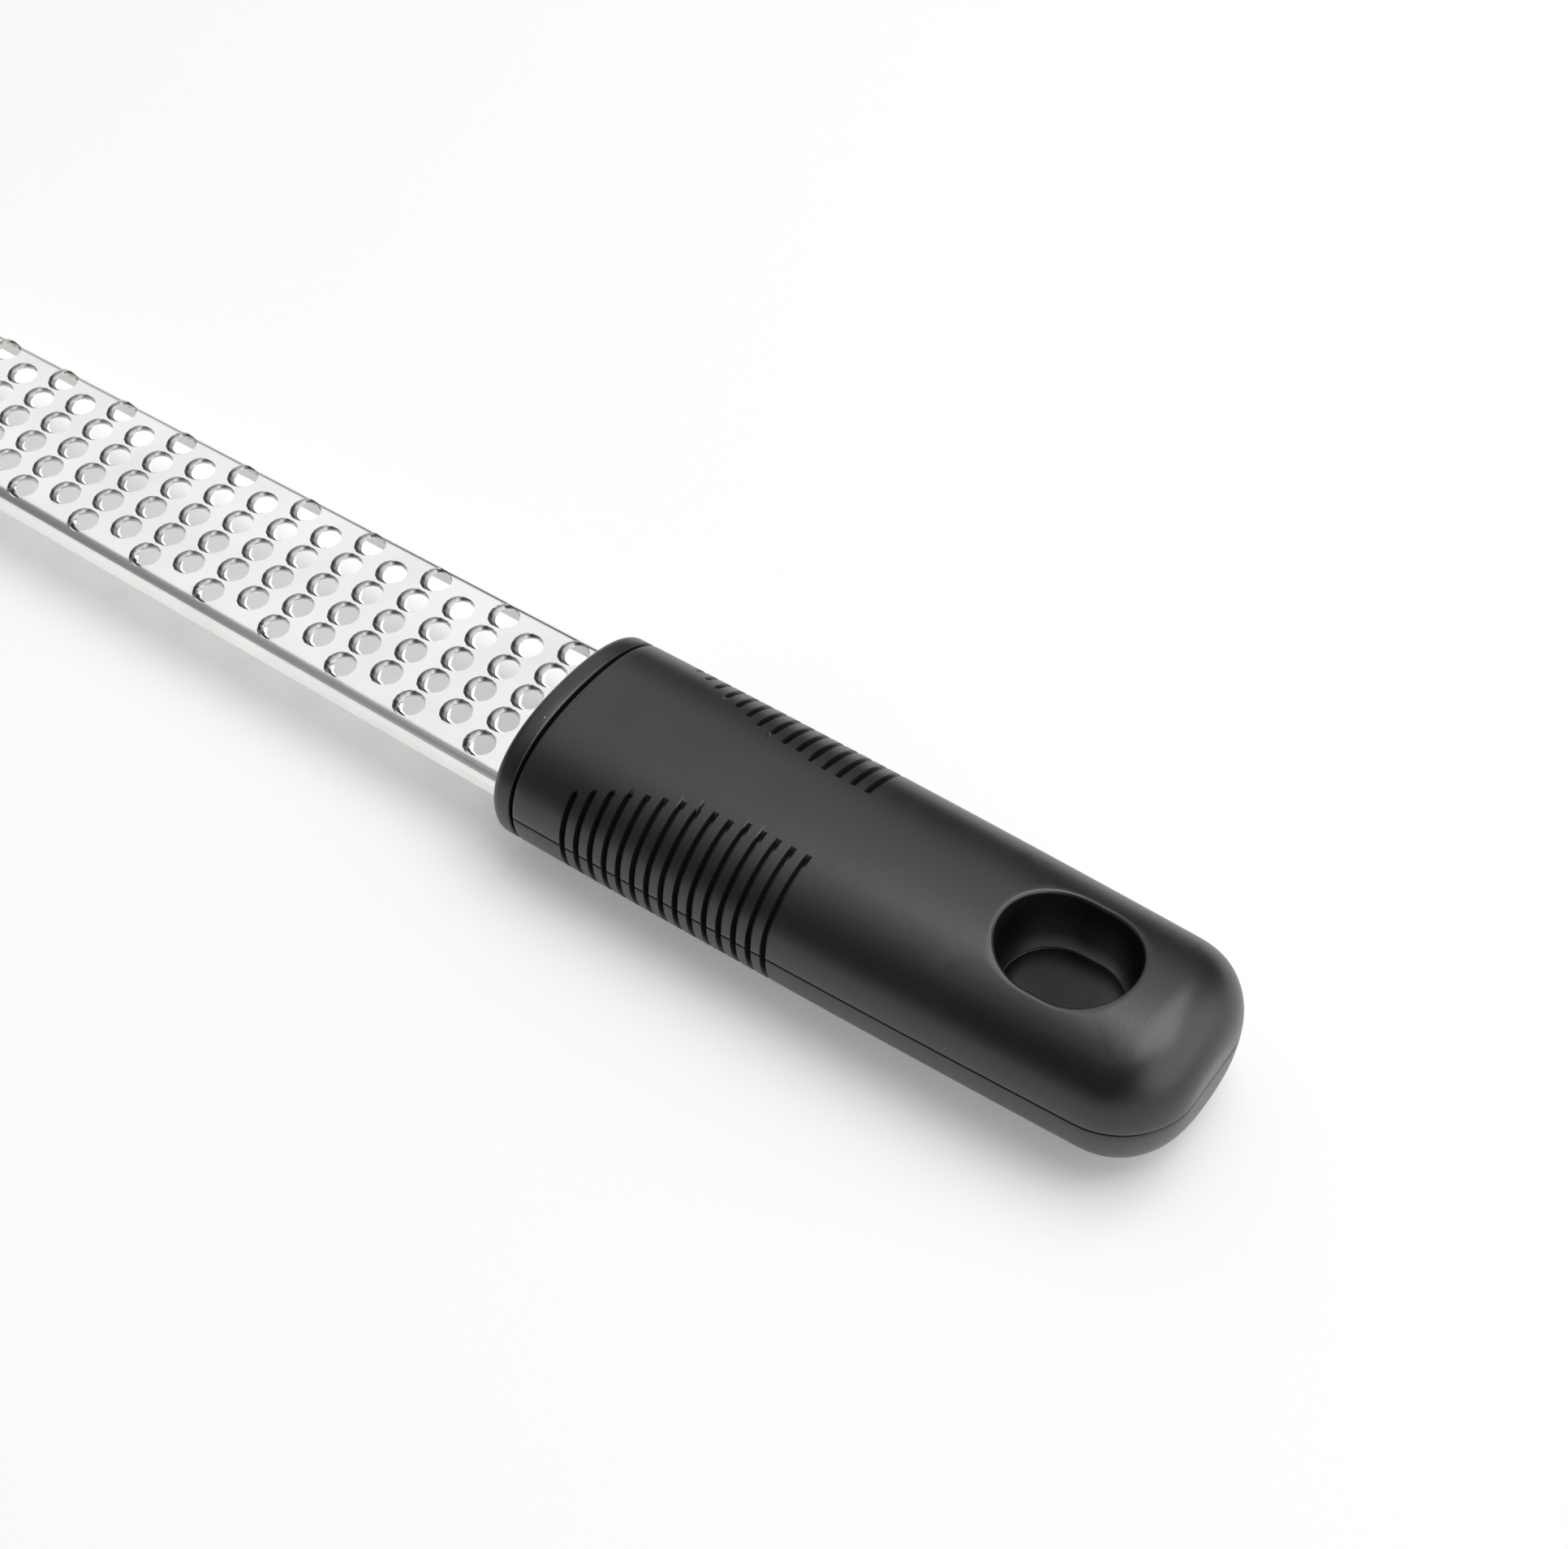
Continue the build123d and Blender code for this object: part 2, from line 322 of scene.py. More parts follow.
def finish_piece(
    thing: bpy.types.Object, material: bpy.types.Material, slot: str, *nodes: str
) -> bpy.types.Object:
    """Turns a millimetre mesh into a finished piece that rides on the tool.

    Args:
        thing: The object, with its mesh in millimetres.
        material: Its finish.
        slot: The record's material slot; not used.
        nodes: The CAD nodes that it stands for.

    Returns:
        The same object, in metres, with its material and body set.
    """
    mesh = thing.data
    coordinates = np.empty(len(mesh.vertices) * 3, dtype=np.float32)
    mesh.vertices.foreach_get("co", coordinates)
    mesh.vertices.foreach_set("co", coordinates * MM)
    mesh.materials.clear()
    mesh.materials.append(material)
    mesh.update()
    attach(thing, "root")
    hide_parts(*nodes)
    LOG.info("%s: %d faces", thing.name, len(mesh.polygons))
    return thing


class FormulaTree:
    """Builds one Geometry Nodes tree with named inputs from short formula calls."""

    def __init__(self, name: str) -> None:
        """Starts an empty tree that takes and gives a geometry.

        Args:
            name: Name of the tree.
        """
        self.tree = bpy.data.node_groups.new(name, "GeometryNodeTree")
        for way in ("INPUT", "OUTPUT"):
            self.tree.interface.new_socket("Geometry", in_out=way, socket_type="NodeSocketGeometry")
        self.identifiers: dict[str, str] = {}
        self.entry = self.tree.nodes.new("NodeGroupInput")
        self.exit = self.tree.nodes.new("NodeGroupOutput")

    def take(self, name: str, kind: str = "Float") -> bpy.types.NodeSocket:
        """Adds a named input.

        Args:
            name: Its name.
            kind: What it holds, such as Float, Int or Material.

        Returns:
            The socket that it arrives on.
        """
        socket = self.tree.interface.new_socket(name, in_out="INPUT", socket_type=f"NodeSocket{kind}")
        self.identifiers[name] = socket.identifier
        return self.entry.outputs[name]

    def node(self, kind: str, values: dict | None = None, **settings: object) -> bpy.types.Node:
        """Adds a node.

        Args:
            kind: The node's type.
            values: A socket or a plain value for each input, by its name or index.
            settings: Values for the node's properties.

        Returns:
            The new node.
        """
        new = self.tree.nodes.new(kind)
        for key, value in settings.items():
            setattr(new, key, value)
        for key, value in (values or {}).items():
            self.feed(new.inputs[key], value)
        return new

    def feed(self, socket: bpy.types.NodeSocket, value: object) -> None:
        """Fills an input.

        Args:
            socket: The input.
            value: A socket that is linked into it, or a plain value that is written there.
        """
        if isinstance(value, bpy.types.NodeSocket):
            self.tree.links.new(value, socket)
        else:
            socket.default_value = value

    def math(self, operation: str, *terms: object) -> bpy.types.NodeSocket:
        """Returns one step of arithmetic on sockets or numbers."""
        return self.node("ShaderNodeMath", dict(enumerate(terms)), operation=operation).outputs[0]

    def plan(self) -> tuple[bpy.types.NodeSocket, bpy.types.NodeSocket]:
        """Returns the sockets of a point's X and Y."""
        here = self.node("GeometryNodeInputPosition").outputs[0]
        place = self.node("ShaderNodeSeparateXYZ", {"Vector": here})
        return place.outputs["X"], place.outputs["Y"]

    def close(self, geometry: bpy.types.NodeSocket, material: bpy.types.NodeSocket) -> None:
        """Ends the tree in Realize Instances and Set Material.

        Args:
            geometry: What the tree has made.
            material: The socket of the material that it gets.
        """
        real = self.node("GeometryNodeRealizeInstances", {"Geometry": geometry})
        dressed = self.node("GeometryNodeSetMaterial", {"Geometry": real.outputs[0], "Material": material})
        self.tree.links.new(dressed.outputs[0], self.exit.inputs[0])

    def run(self, thing: bpy.types.Object, values: dict[str, object]) -> None:
        """Works the tree into the object's mesh.

        Args:
            thing: The object that it changes.
            values: The value of each named input.
        """
        modifier = thing.modifiers.new(self.tree.name, "NODES")
        modifier.node_group = self.tree
        for name, value in values.items():
            modifier[self.identifiers[name]] = value
        settle(thing)


class ShaderSheet:
    """A material's node tree with short calls for what the finishes share."""

    def __init__(self, name: str) -> None:
        """Makes the material with one Principled shader and Object coordinates.

        Args:
            name: Name of the material.
        """
        self.material = bpy.data.materials.new(name)
        self.material.use_nodes = True
        self.nodes = self.material.node_tree.nodes
        self.links = self.material.node_tree.links
        self.shader = self.nodes["Principled BSDF"]
        self.place = self.nodes.new("ShaderNodeTexCoord").outputs["Object"]

    @classmethod
    def for_world(cls, world: bpy.types.World) -> "ShaderSheet":
        """Makes a sheet on a world's tree, whose place is the direction that is looked in.

        Args:
            world: The world.

        Returns:
            The sheet, without a Principled shader.
        """
        sheet = cls.__new__(cls)
        sheet.nodes = world.node_tree.nodes
        sheet.links = world.node_tree.links
        sheet.place = sheet.nodes.new("ShaderNodeTexCoord").outputs["Generated"]
        return sheet

    def math(self, operation: str, first: object, second: object) -> bpy.types.NodeSocket:
        """Adds one step of arithmetic.

        Args:
            operation: The step's name.
            first: A socket or number.
            second: Another one.

        Returns:
            The socket of its result.
        """
        step = self.nodes.new("ShaderNodeMath")
        step.operation = operation
        for socket, term in zip(step.inputs, (first, second)):
            if isinstance(term, bpy.types.NodeSocket):
                self.links.new(term, socket)
            else:
                socket.default_value = term
        return step.outputs[0]

    def mark(self, name: str) -> bpy.types.NodeSocket:
        """Reads a number that the mesh carries.

        Args:
            name: Name of its attribute.

        Returns:
            The socket that gives it.
        """
        carried = self.nodes.new("ShaderNodeAttribute")
        carried.attribute_name = name
        return carried.outputs["Fac"]

    def ray(self, kind: str) -> bpy.types.NodeSocket:
        """Returns a socket that is 1 for a kind of ray, named as Light Path names it."""
        return self.nodes.new("ShaderNodeLightPath").outputs[kind]

    def seen_directly(self) -> bpy.types.NodeSocket:
        """Returns a socket that is 1 for camera, glossy and transmission rays."""
        seen = self.math("MAXIMUM", self.ray("Is Camera Ray"), self.ray("Is Glossy Ray"))
        return self.math("MAXIMUM", seen, self.ray("Is Transmission Ray"))

    def noise(self, scale: float, stretch: Point = (1, 1, 1), detail: float = 3.0) -> bpy.types.NodeSocket:
        """Adds noise over the object.

        Args:
            scale: Its waves per metre.
            stretch: Factors on the scale along the axes, which stretch its grain.
            detail: How many finer layers it has.

        Returns:
            A socket with values from 0 to 1.
        """
        mapping = self.nodes.new("ShaderNodeMapping")
        mapping.inputs["Scale"].default_value = stretch
        self.links.new(self.place, mapping.inputs["Vector"])
        noise = self.nodes.new("ShaderNodeTexNoise")
        noise.inputs["Scale"].default_value = scale
        noise.inputs["Detail"].default_value = detail
        self.links.new(mapping.outputs[0], noise.inputs["Vector"])
        return noise.outputs["Fac"]

    def specks(self, scale: float, size: float, share: float) -> bpy.types.NodeSocket:
        """Adds a mask of rare small specks with slightly soft rims.

        Args:
            scale: Cells per metre.
            size: Radius of a speck as a share of a cell.
            share: Share of the cells that hold one.

        Returns:
            A socket that is 1 on the specks and 0 elsewhere.
        """
        cells = self.nodes.new("ShaderNodeTexVoronoi")
        cells.inputs["Scale"].default_value = scale
        self.links.new(self.place, cells.inputs["Vector"])
        near = self.span(cells.outputs["Distance"], (size, size * 0.6))
        pick = self.nodes.new("ShaderNodeSeparateColor")
        self.links.new(cells.outputs["Color"], pick.inputs[0])
        chosen = self.span(pick.outputs[0], (share, share * 0.9))
        return self.math("MULTIPLY", near, chosen)

    def span(
        self,
        value: bpy.types.NodeSocket,
        source: tuple[float, float],
        target: tuple[float, float] = (0.0, 1.0),
        smooth: bool = False,
    ) -> bpy.types.NodeSocket:
        """Maps a value from one range to another and clamps it.

        Args:
            value: The value's socket.
            source: The range that it has.
            target: The range that it gets.
            smooth: Whether it starts and ends softly.

        Returns:
            The socket of its result.
        """
        step = self.nodes.new("ShaderNodeMapRange")
        step.interpolation_type = "SMOOTHSTEP" if smooth else "LINEAR"
        self.links.new(value, step.inputs["Value"])
        for key, number in zip(("From Min", "From Max", "To Min", "To Max"), (*source, *target)):
            step.inputs[key].default_value = number
        return step.outputs[0]

    def blend(self, share: bpy.types.NodeSocket, first: object, second: object) -> bpy.types.NodeSocket:
        """Mixes two colours.

        Args:
            share: The second colour's share.
            first: A colour or a colour's socket.
            second: Another one.

        Returns:
            The socket of the mixed colour.
        """
        mix = self.nodes.new("ShaderNodeMix")
        mix.data_type = "RGBA"
        self.links.new(share, mix.inputs[0])
        for socket, colour in ((mix.inputs[6], first), (mix.inputs[7], second)):
            if isinstance(colour, bpy.types.NodeSocket):
                self.links.new(colour, socket)
            else:
                socket.default_value = (*colour, 1.0)
        return mix.outputs[2]

    def bump(
        self,
        height: bpy.types.NodeSocket,
        relief: tuple[float, float],
        under: bpy.types.NodeSocket | None = None,
    ) -> bpy.types.NodeSocket:
        """Roughens the surface by a height.

        Args:
            height: The height's socket.
            relief: Strength, and depth in metres.
            under: A normal that it lies over, where there is one.

        Returns:
            The socket of the roughened normal.
        """
        node = self.nodes.new("ShaderNodeBump")
        node.inputs["Strength"].default_value, node.inputs["Distance"].default_value = relief
        self.links.new(height, node.inputs["Height"])
        if under is not None:
            self.links.new(under, node.inputs["Normal"])
        return node.outputs[0]

    def wire(self, **sockets: bpy.types.NodeSocket) -> None:
        """Links sockets to the shader's inputs, whose spaces are written as underscores."""
        for key, socket in sockets.items():
            self.links.new(socket, self.shader.inputs[key.replace("_", " ")])

    def fix(self, **values: object) -> None:
        """Sets plain values on the shader's inputs, whose spaces are written as underscores."""
        for key, value in values.items():
            self.shader.inputs[key.replace("_", " ")].default_value = value


@dataclass(frozen=True)
class PolishedSteel:
    """Bright stamped steel with a faint lengthwise grain, and painted shade where a tooth's side leans to the
    tip.
    """

    light: Point = (0.93, 0.925, 0.915)
    dull: Point = (0.84, 0.835, 0.825)
    # painted shade: the dark colour that stands in for the teeth's dark reflections
    pressed: Point = (0.10, 0.098, 0.092)
    roughness: tuple[float, float] = (0.10, 0.20)
    cloud_scale: float = 60.0
    cloud_range: tuple[float, float] = (0.35, 0.7)
    grain_scale: float = 2600.0
    grain_stretch: Point = (0.04, 1.0, 1.0)
    grain_relief: tuple[float, float] = (0.08, 0.00002)

    def make(self) -> bpy.types.Material:
        """Makes the material.

        Returns:
            The new material.
        """
        sheet = ShaderSheet("polished_steel")
        grain = sheet.noise(self.grain_scale, self.grain_stretch)
        clouds = sheet.span(sheet.noise(self.cloud_scale), self.cloud_range)
        plain = sheet.blend(clouds, self.light, self.dull)
        sheet.fix(Metallic=1.0)
        sheet.wire(
            # the base colour darkens to the painted shade where the mesh marks it
            Base_Color=sheet.blend(sheet.mark(PAINTED_SHADE), plain, self.pressed),
            Roughness=sheet.span(grain, GRAIN_RANGE, self.roughness),
            Normal=sheet.bump(grain, self.grain_relief),
        )
        return sheet.material


@dataclass(frozen=True)
class SoftGrip:
    """Matt black moulded rubber with a fine skin and a little dust, and painted shade down the hanging hole's
    wall.
    """

    dark: Point = (0.0075, 0.0072, 0.0074)
    light: Point = (0.013, 0.0125, 0.0126)
    dust: Point = (0.22, 0.21, 0.20)
    # painted shade: the near-black colour down the hanging hole's wall
    hole_painted_shade: Point = (0.0012, 0.0012, 0.0013)
    roughness: tuple[float, float] = (0.28, 0.38)
    specular: float = 0.62
    cloud_scale: float = 90.0
    cloud_range: tuple[float, float] = (0.3, 0.75)
    cloud_relief: tuple[float, float] = (0.15, 0.0003)
    skin_scale: float = 5200.0
    skin_detail: float = 2.0
    skin_relief: tuple[float, float] = (0.25, 0.00004)
    speck_scale: float = 420.0
    speck_size: float = 0.09
    speck_share: float = 0.05

    def make(self) -> bpy.types.Material:
        """Makes the material.

        Returns:
            The new material.
        """
        sheet = ShaderSheet("soft_grip_black")
        skin = sheet.noise(self.skin_scale, detail=self.skin_detail)
        clouds = sheet.noise(self.cloud_scale)
        body = sheet.blend(sheet.span(clouds, self.cloud_range), self.dark, self.light)
        specks = sheet.specks(self.speck_scale, self.speck_size, self.speck_share)
        dusty = sheet.blend(specks, body, self.dust)
        sheet.fix(Specular_IOR_Level=self.specular)
        sheet.wire(
            # the hanging hole's wall gets painted shade, darker further below its rim
            Base_Color=sheet.blend(sheet.mark(HOLE_PAINTED_SHADE), dusty, self.hole_painted_shade),
            Roughness=sheet.span(skin, GRAIN_RANGE, self.roughness),
            Normal=sheet.bump(skin, self.skin_relief, sheet.bump(clouds, self.cloud_relief)),
        )
        return sheet.material


@dataclass(frozen=True)
class PlainFinish:
    """A simple moulded or turned finish for what lies inside the handle."""

    name: str
    dark: Point
    light: Point
    metallic: float
    roughness: tuple[float, float]
    grain_scale: float
    grain_relief: tuple[float, float] = (0.15, 0.00003)

    def make(self) -> bpy.types.Material:
        """Makes the material.

        Returns:
            The new material.
        """
        sheet = ShaderSheet(self.name)
        grain = sheet.noise(self.grain_scale)
        sheet.fix(Metallic=self.metallic)
        sheet.wire(
            Base_Color=sheet.blend(grain, self.dark, self.light),
            Roughness=sheet.span(grain, GRAIN_RANGE, self.roughness),
            Normal=sheet.bump(grain, self.grain_relief),
        )
        return sheet.material


CORE_PLASTIC = PlainFinish(
    "core_plastic_grey", (0.05, 0.05, 0.052), (0.075, 0.075, 0.078), 0.0, (0.39, 0.51), 1800.0
)
PIN_STEEL = PlainFinish(
    "turned_pin_steel", (0.50, 0.50, 0.49), (0.62, 0.62, 0.61), 1.0, (0.22, 0.34), 2400.0
)


@dataclass(frozen=True)
class ToothForm:
    """One rasp tooth: a bore with a smooth rounded hood rising over its tip's side."""

    sides: int = 16
    bore_radius: float = 2.28
    foot_radius: float = 2.46
    foot_growth: float = 0.34
    lip_radius: float = 2.30
    lip_reach: float = 1.55
    lip_height: float = 1.1
    roll: tuple[tuple[float, float], ...] = ((0.0, 0.0), (0.10, 0.38), (0.28, 0.70), (0.60, 0.92), (1.0, 1.0))
    hood_start: float = 0.42
    hood_span: float = 1.15
    throat_share: float = 0.45
    throat_rise: float = 0.30
    throat_drop: float = 0.35
    back: float = 4.2
    front: float = 2.7
    corner_indices: tuple[int, int, int, int] = (2, 6, 10, 14)

    def lift(self, turn: float) -> float:
        """Returns how far the hood has risen towards the tip's side, from 0 to 1."""
        share = min(max((self.hood_start - math.cos(turn)) / self.hood_span, 0.0), 1.0)
        return share * share * (3 - 2 * share)

    def profile(self, turn: float, sheet: float) -> list[tuple[float, float]]:
        """Works out the tooth's section in one direction, from the plate's top down its bore.

        Args:
            turn: The direction, counted from the handle's side.
            sheet: Thickness of the plate.

        Returns:
            Radii and levels.
        """
        lift = self.lift(turn)
        foot = self.foot_radius + self.foot_growth * lift
        lip = self.lip_radius - self.lip_reach * lift
        height = self.lip_height * lift
        hood = [(foot + (lip - foot) * share, height * rise) for share, rise in self.roll]
        throat_radius = lip + self.throat_share * (self.bore_radius - lip)
        throat_level = self.throat_rise * height - self.throat_drop * sheet
        return [*hood, (throat_radius, throat_level), (self.bore_radius, -sheet)]

    def rings(self, sheet: float) -> list[list[Point]]:
        """Works out the tooth's rings from the plate's top, over the hood and down the bore.

        Args:
            sheet: Thickness of the plate.

        Returns:
            Rings of points, each with one point for each side.
        """
        columns = []
        for turn in (math.tau * index / self.sides for index in range(self.sides)):
            cosine, sine = math.cos(turn), math.sin(turn)
            section = self.profile(turn, sheet)
            columns.append([(radius * cosine, radius * sine, level) for radius, level in section])
        return [list(ring) for ring in zip(*columns)]


@dataclass(frozen=True)
class ToothPaintedShade:
    """Painted shade on the teeth's sides, set by the way that the steel faces there, standing in for their
    dark reflections.
    """

    direction: Point = (-0.55, -0.62, 0.56)
    deep_start: float = 0.64
    deep_span: float = 0.16
    tipward_span: float = 0.08
    deep_share: float = 0.95
    faint_start: float = 0.05
    faint_span: float = 0.15
    faint_share: float = 0.50

    def mark(self, mesh: bpy.types.Mesh) -> None:
        """Marks painted shade on the steel that leans to the tip, making it darker than the flat steel.

        Args:
            mesh: The blade's mesh.
        """
        normals = np.array([corner.vector[:] for corner in mesh.corner_normals])
        facing = normals @ np.array(self.direction)
        deep = np.clip((facing - self.deep_start) / self.deep_span, 0, 1)
        deep *= np.clip(-normals[:, 0] / self.tipward_span, 0, 1)
        faint = np.clip((np.abs(normals[:, 0]) - self.faint_start) / self.faint_span, 0, 1)
        share = np.maximum(self.deep_share * deep, self.faint_share * faint)
        write_attribute(mesh, PAINTED_SHADE, "CORNER", share)


@dataclass
class GraterBlade:
    """The perforated strip: a flat toothed sheet whose long edges are folded into rails."""

    material: bpy.types.Material
    tooth: ToothForm = field(default_factory=ToothForm)
    # painted shade on the teeth's sides
    shade: ToothPaintedShade = field(default_factory=ToothPaintedShade)
    sheet: float = 0.5
    tip_half_width: float = 14.1
    handle_half_width: float = 15.4
    rail_depth: float = 4.2
    fold_radius: float = 2.3
    fold_steps: int = 16
    tip_corner: float = 4.0
    corner_steps: int = 4
    rail_nose: float = 6.0
    rows: int = 9
    columns: int = 15
    pitch: float = 13.8
    row_step: float = 2.81
    cell_steps: int = 3
    last_tooth_setback: float = 0.6
    tip_margin: float = 9.0
    tip_steps: int = 6
    cell_weld: float = 0.002
    sheet_weld: float = 0.004
    score_slack: float = 1e-5
    tang_half_width: float = 9.5
    tang_end: float = 108.25
    tang_corner: float = 3.0
    tang_corner_steps: int = 6
    tang_lap: float = 0.4
    tang_inset: float = 0.02
    pin_places: tuple[float, float] = (66.25, 94.25)
    pin_radius: float = 2.55
    pin_sides: int = 24
    crisp_limit: float = 38.0
    flat_weight: int = 50

    @property
    def taper(self) -> float:
        """How much half the width grows along each millimetre of the blade."""
        return (self.handle_half_width - self.tip_half_width) / (LAYOUT.taper_end - LAYOUT.tip)

    @property
    def cell_width(self) -> float:
        """Length along the blade of the cell that holds one tooth."""
        return self.pitch / 2

    @property
    def cells(self) -> int:
        """How many cells the rows take along the blade, where each row has a tooth in every other."""
        return 2 * self.columns - 1

    @property
    def fold_arc(self) -> float:
        """How much of the flat sheet a fold takes."""
        return math.pi * self.fold_radius / 2

    def half_width(self, x: np.ndarray | float) -> np.ndarray | float:
        """Returns half the width over the rails at x."""
        share = (x - LAYOUT.tip) / (LAYOUT.taper_end - LAYOUT.tip)
        return self.tip_half_width + (self.handle_half_width - self.tip_half_width) * share

    def flat_half_width(self, x: float) -> float:
        """Returns half the width of the sheet at x before its edges are folded."""
        past_fold = self.fold_arc + self.rail_depth - self.fold_radius
        return self.half_width(x) - self.fold_radius + past_fold

    def tooth_cell(self) -> bpy.types.Mesh:
        """Makes the plate round one tooth, from its top skin down to its underside.

        Returns:
            The cell's mesh, with the tooth's bore round the origin.
        """
        rings = self.tooth.rings(self.sheet)
        points = [point for ring in rings for point in ring]
        faces = stacked_faces(len(rings), self.tooth.sides, False)
        bore = (len(rings) - 1) * self.tooth.sides
        for level, ring_start, flip in ((0.0, 0, False), (-self.sheet, bore, True)):
            faces += self.cell_plate(points, ring_start, level, flip)
        return mesh_from("tooth_cell", points, faces)

    def cell_plate(
        self, points: list[Point], ring_start: int, level: float, flip: bool
    ) -> list[tuple[int, ...]]:
        """Fills the plate between a ring and the cell's outline with four faces.

        Args:
            points: The cell's points, to which the outline is added.
            ring_start: Index of the ring's first point.
            level: Height of the plate.
            flip: Whether the faces look down.

        Returns:
            The new faces.
        """
        tooth = self.tooth
        step = self.row_step / 2
        xs = np.linspace(-tooth.back, tooth.front, self.cell_steps + 1)
        right = [(tooth.front, y * step) for y in range(-2, 3)]
        top = [(x, 2 * step) for x in xs[::-1]]
        left = [(-tooth.back, y * step) for y in range(2, -3, -1)]
        bottom = [(x, -2 * step) for x in xs]
        ends = tooth.corner_indices
        faces = []
        for side, first, last in zip((right, top, left, bottom), (ends[-1], *ends[:-1]), ends):
            start = len(points)
            points.extend((x, y, level) for x, y in side)
            steps = (last - first) % tooth.sides
            ring = [ring_start + (first + k) % tooth.sides for k in range(steps, -1, -1)]
            face = [*range(start, start + len(side)), *ring]
            faces.append(tuple(reversed(face)) if flip else tuple(face))
        return faces

    def tooth_tree(self) -> FormulaTree:
        """Builds the tree that sets the tooth's cell on every place of the staggered rows.

        Returns:
            The tree.
        """
        tree = FormulaTree("tooth_rows")
        columns, rows = tree.take("Teeth in a Row", "Int"), tree.take("Rows", "Int")
        pitch, step = tree.take("Pitch"), tree.take("Row Step")
        last, limit = tree.take("Last Tooth"), tree.take("First Tooth Limit")
        weld, material = tree.take("Weld"), tree.take("Material", "Material")
        index = tree.node("GeometryNodeInputIndex").outputs[0]
        row = tree.math("FLOOR", tree.math("DIVIDE", tree.math("ADD", index, 0.5), columns))
        column = tree.math("SUBTRACT", index, tree.math("MULTIPLY", row, columns))
        even = tree.math("SUBTRACT", 1.0, tree.math("MODULO", row, 2.0))
        stagger = tree.math("MULTIPLY", even, tree.math("MULTIPLY", pitch, 0.5))
        x = tree.math("SUBTRACT", tree.math("SUBTRACT", last, stagger), tree.math("MULTIPLY", column, pitch))
        middle = tree.math("MULTIPLY", tree.math("SUBTRACT", rows, 1.0), 0.5)
        y = tree.math("MULTIPLY", step, tree.math("SUBTRACT", row, middle))
        place = tree.node("ShaderNodeCombineXYZ", {"X": x, "Y": y})
        count = tree.math("MULTIPLY", columns, rows)
        spots = tree.node("GeometryNodePoints", {"Count": count, "Position": place.outputs[0]})
        kept = tree.math("GREATER_THAN", tree.plan()[0], limit)
        cells = tree.node(
            "GeometryNodeInstanceOnPoints",
            {"Points": spots.outputs[0], "Selection": kept, "Instance": tree.entry.outputs["Geometry"]},
        )
        real = tree.node("GeometryNodeRealizeInstances", {"Geometry": cells.outputs[0]})
        joined = tree.node("GeometryNodeMergeByDistance", {"Geometry": real.outputs[0], "Distance": weld})
        tree.close(joined.outputs[0], material)
        return tree

    def plain_patch(
        self, shape: bmesh.types.BMesh, xs: Sequence[float], ys: Callable[[float], Sequence[float]]
    ) -> None:
        """Adds a plain stretch of sheet, as a grid of top and bottom faces.

        Args:
            shape: The sheet so far.
            xs: Places of its lines across the blade.
            ys: Gives the places of its lines along the blade for a place x.
        """
        for level, flip in ((0.0, False), (-self.sheet, True)):
            grid = [[shape.verts.new((x, y, level)) for y in ys(x)] for x in xs]
            for line, after in zip(grid, grid[1:]):
                for index in range(len(line) - 1):
                    corners = [line[index], after[index], after[index + 1], line[index + 1]]
                    shape.faces.new(reversed(corners) if flip else corners)

    def fill_plain_sheet(self, shape: bmesh.types.BMesh) -> None:
        """Adds the sheet that has no teeth: beside the rows, at the tip and for the rails.

        Args:
            shape: The sheet so far.
        """
        step = self.row_step / 2
        edge = (self.rows + 1) * step
        fine = self.cell_steps
        lines = [LAYOUT.strip_end - self.cell_width * k / fine for k in range(fine * self.cells, -1, -1)]
        tip_run = lines[0] - LAYOUT.tip
        tip_lines = [LAYOUT.tip + tip_run * k / self.tip_steps for k in range(self.tip_steps + 1)]
        across = [step * k for k in range(-self.rows - 1, self.rows + 2)]
        self.plain_patch(shape, tip_lines, lambda x: across)
        for hand in (1, -1):
            beside = sorted((hand * (edge - 2 * step), hand * (edge - step), hand * edge))
            for cell in range(0, self.cells, 2):
                right = fine * (self.cells - cell)
                self.plain_patch(shape, lines[right - fine : right + 1], lambda x: beside)
            self.plain_patch(
                shape, tip_lines[:-1] + lines, lambda x: sorted((hand * edge, hand * self.flat_half_width(x)))
            )

    def close_rim(self, shape: bmesh.types.BMesh) -> None:
        """Joins the sheet's top and bottom skins round its outline.

        Args:
            shape: The sheet's two skins.
        """

        def plan(vert: bmesh.types.BMVert) -> tuple[float, float]:
            """Returns a corner's place in plan, to a hundredth of a millimetre."""
            return round(vert.co.x, 2), round(vert.co.y, 2)

        middle = -self.sheet / 2
        below = {plan(vert): vert for vert in shape.verts if vert.is_boundary and vert.co.z < middle}
        rims = [e for e in shape.edges if e.is_boundary and min(v.co.z for v in e.verts) > middle]
        for edge in rims:
            first, last = edge.verts
            shape.faces.new((first, last, below[plan(last)], below[plan(first)]))

    def score_folds(self, shape: bmesh.types.BMesh) -> None:
        """Cuts lines along the sheet where the fold and the tip's round corners need them.

        Args:
            shape: The flat sheet.
        """
        start = self.half_width(LAYOUT.tip) - self.fold_radius
        corner_start = self.fold_radius - self.tip_corner
        lines = [corner_start + (0 - corner_start) * k / self.corner_steps for k in range(self.corner_steps)]
        lines += [self.fold_arc * k / self.fold_steps for k in range(self.fold_steps + 1)]
        lines += [self.fold_arc + (self.rail_depth - self.fold_radius) / 2]
        for hand in (1, -1):
            normal = Vector((-self.taper, hand, 0)).normalized()
            for offset in lines:
                spot = Vector((LAYOUT.tip, hand * (start + offset), 0))
                parts = [*shape.verts, *shape.edges, *shape.faces]
                bmesh.ops.bisect_plane(
                    shape, geom=parts, dist=self.score_slack, plane_co=spot, plane_no=normal
                )

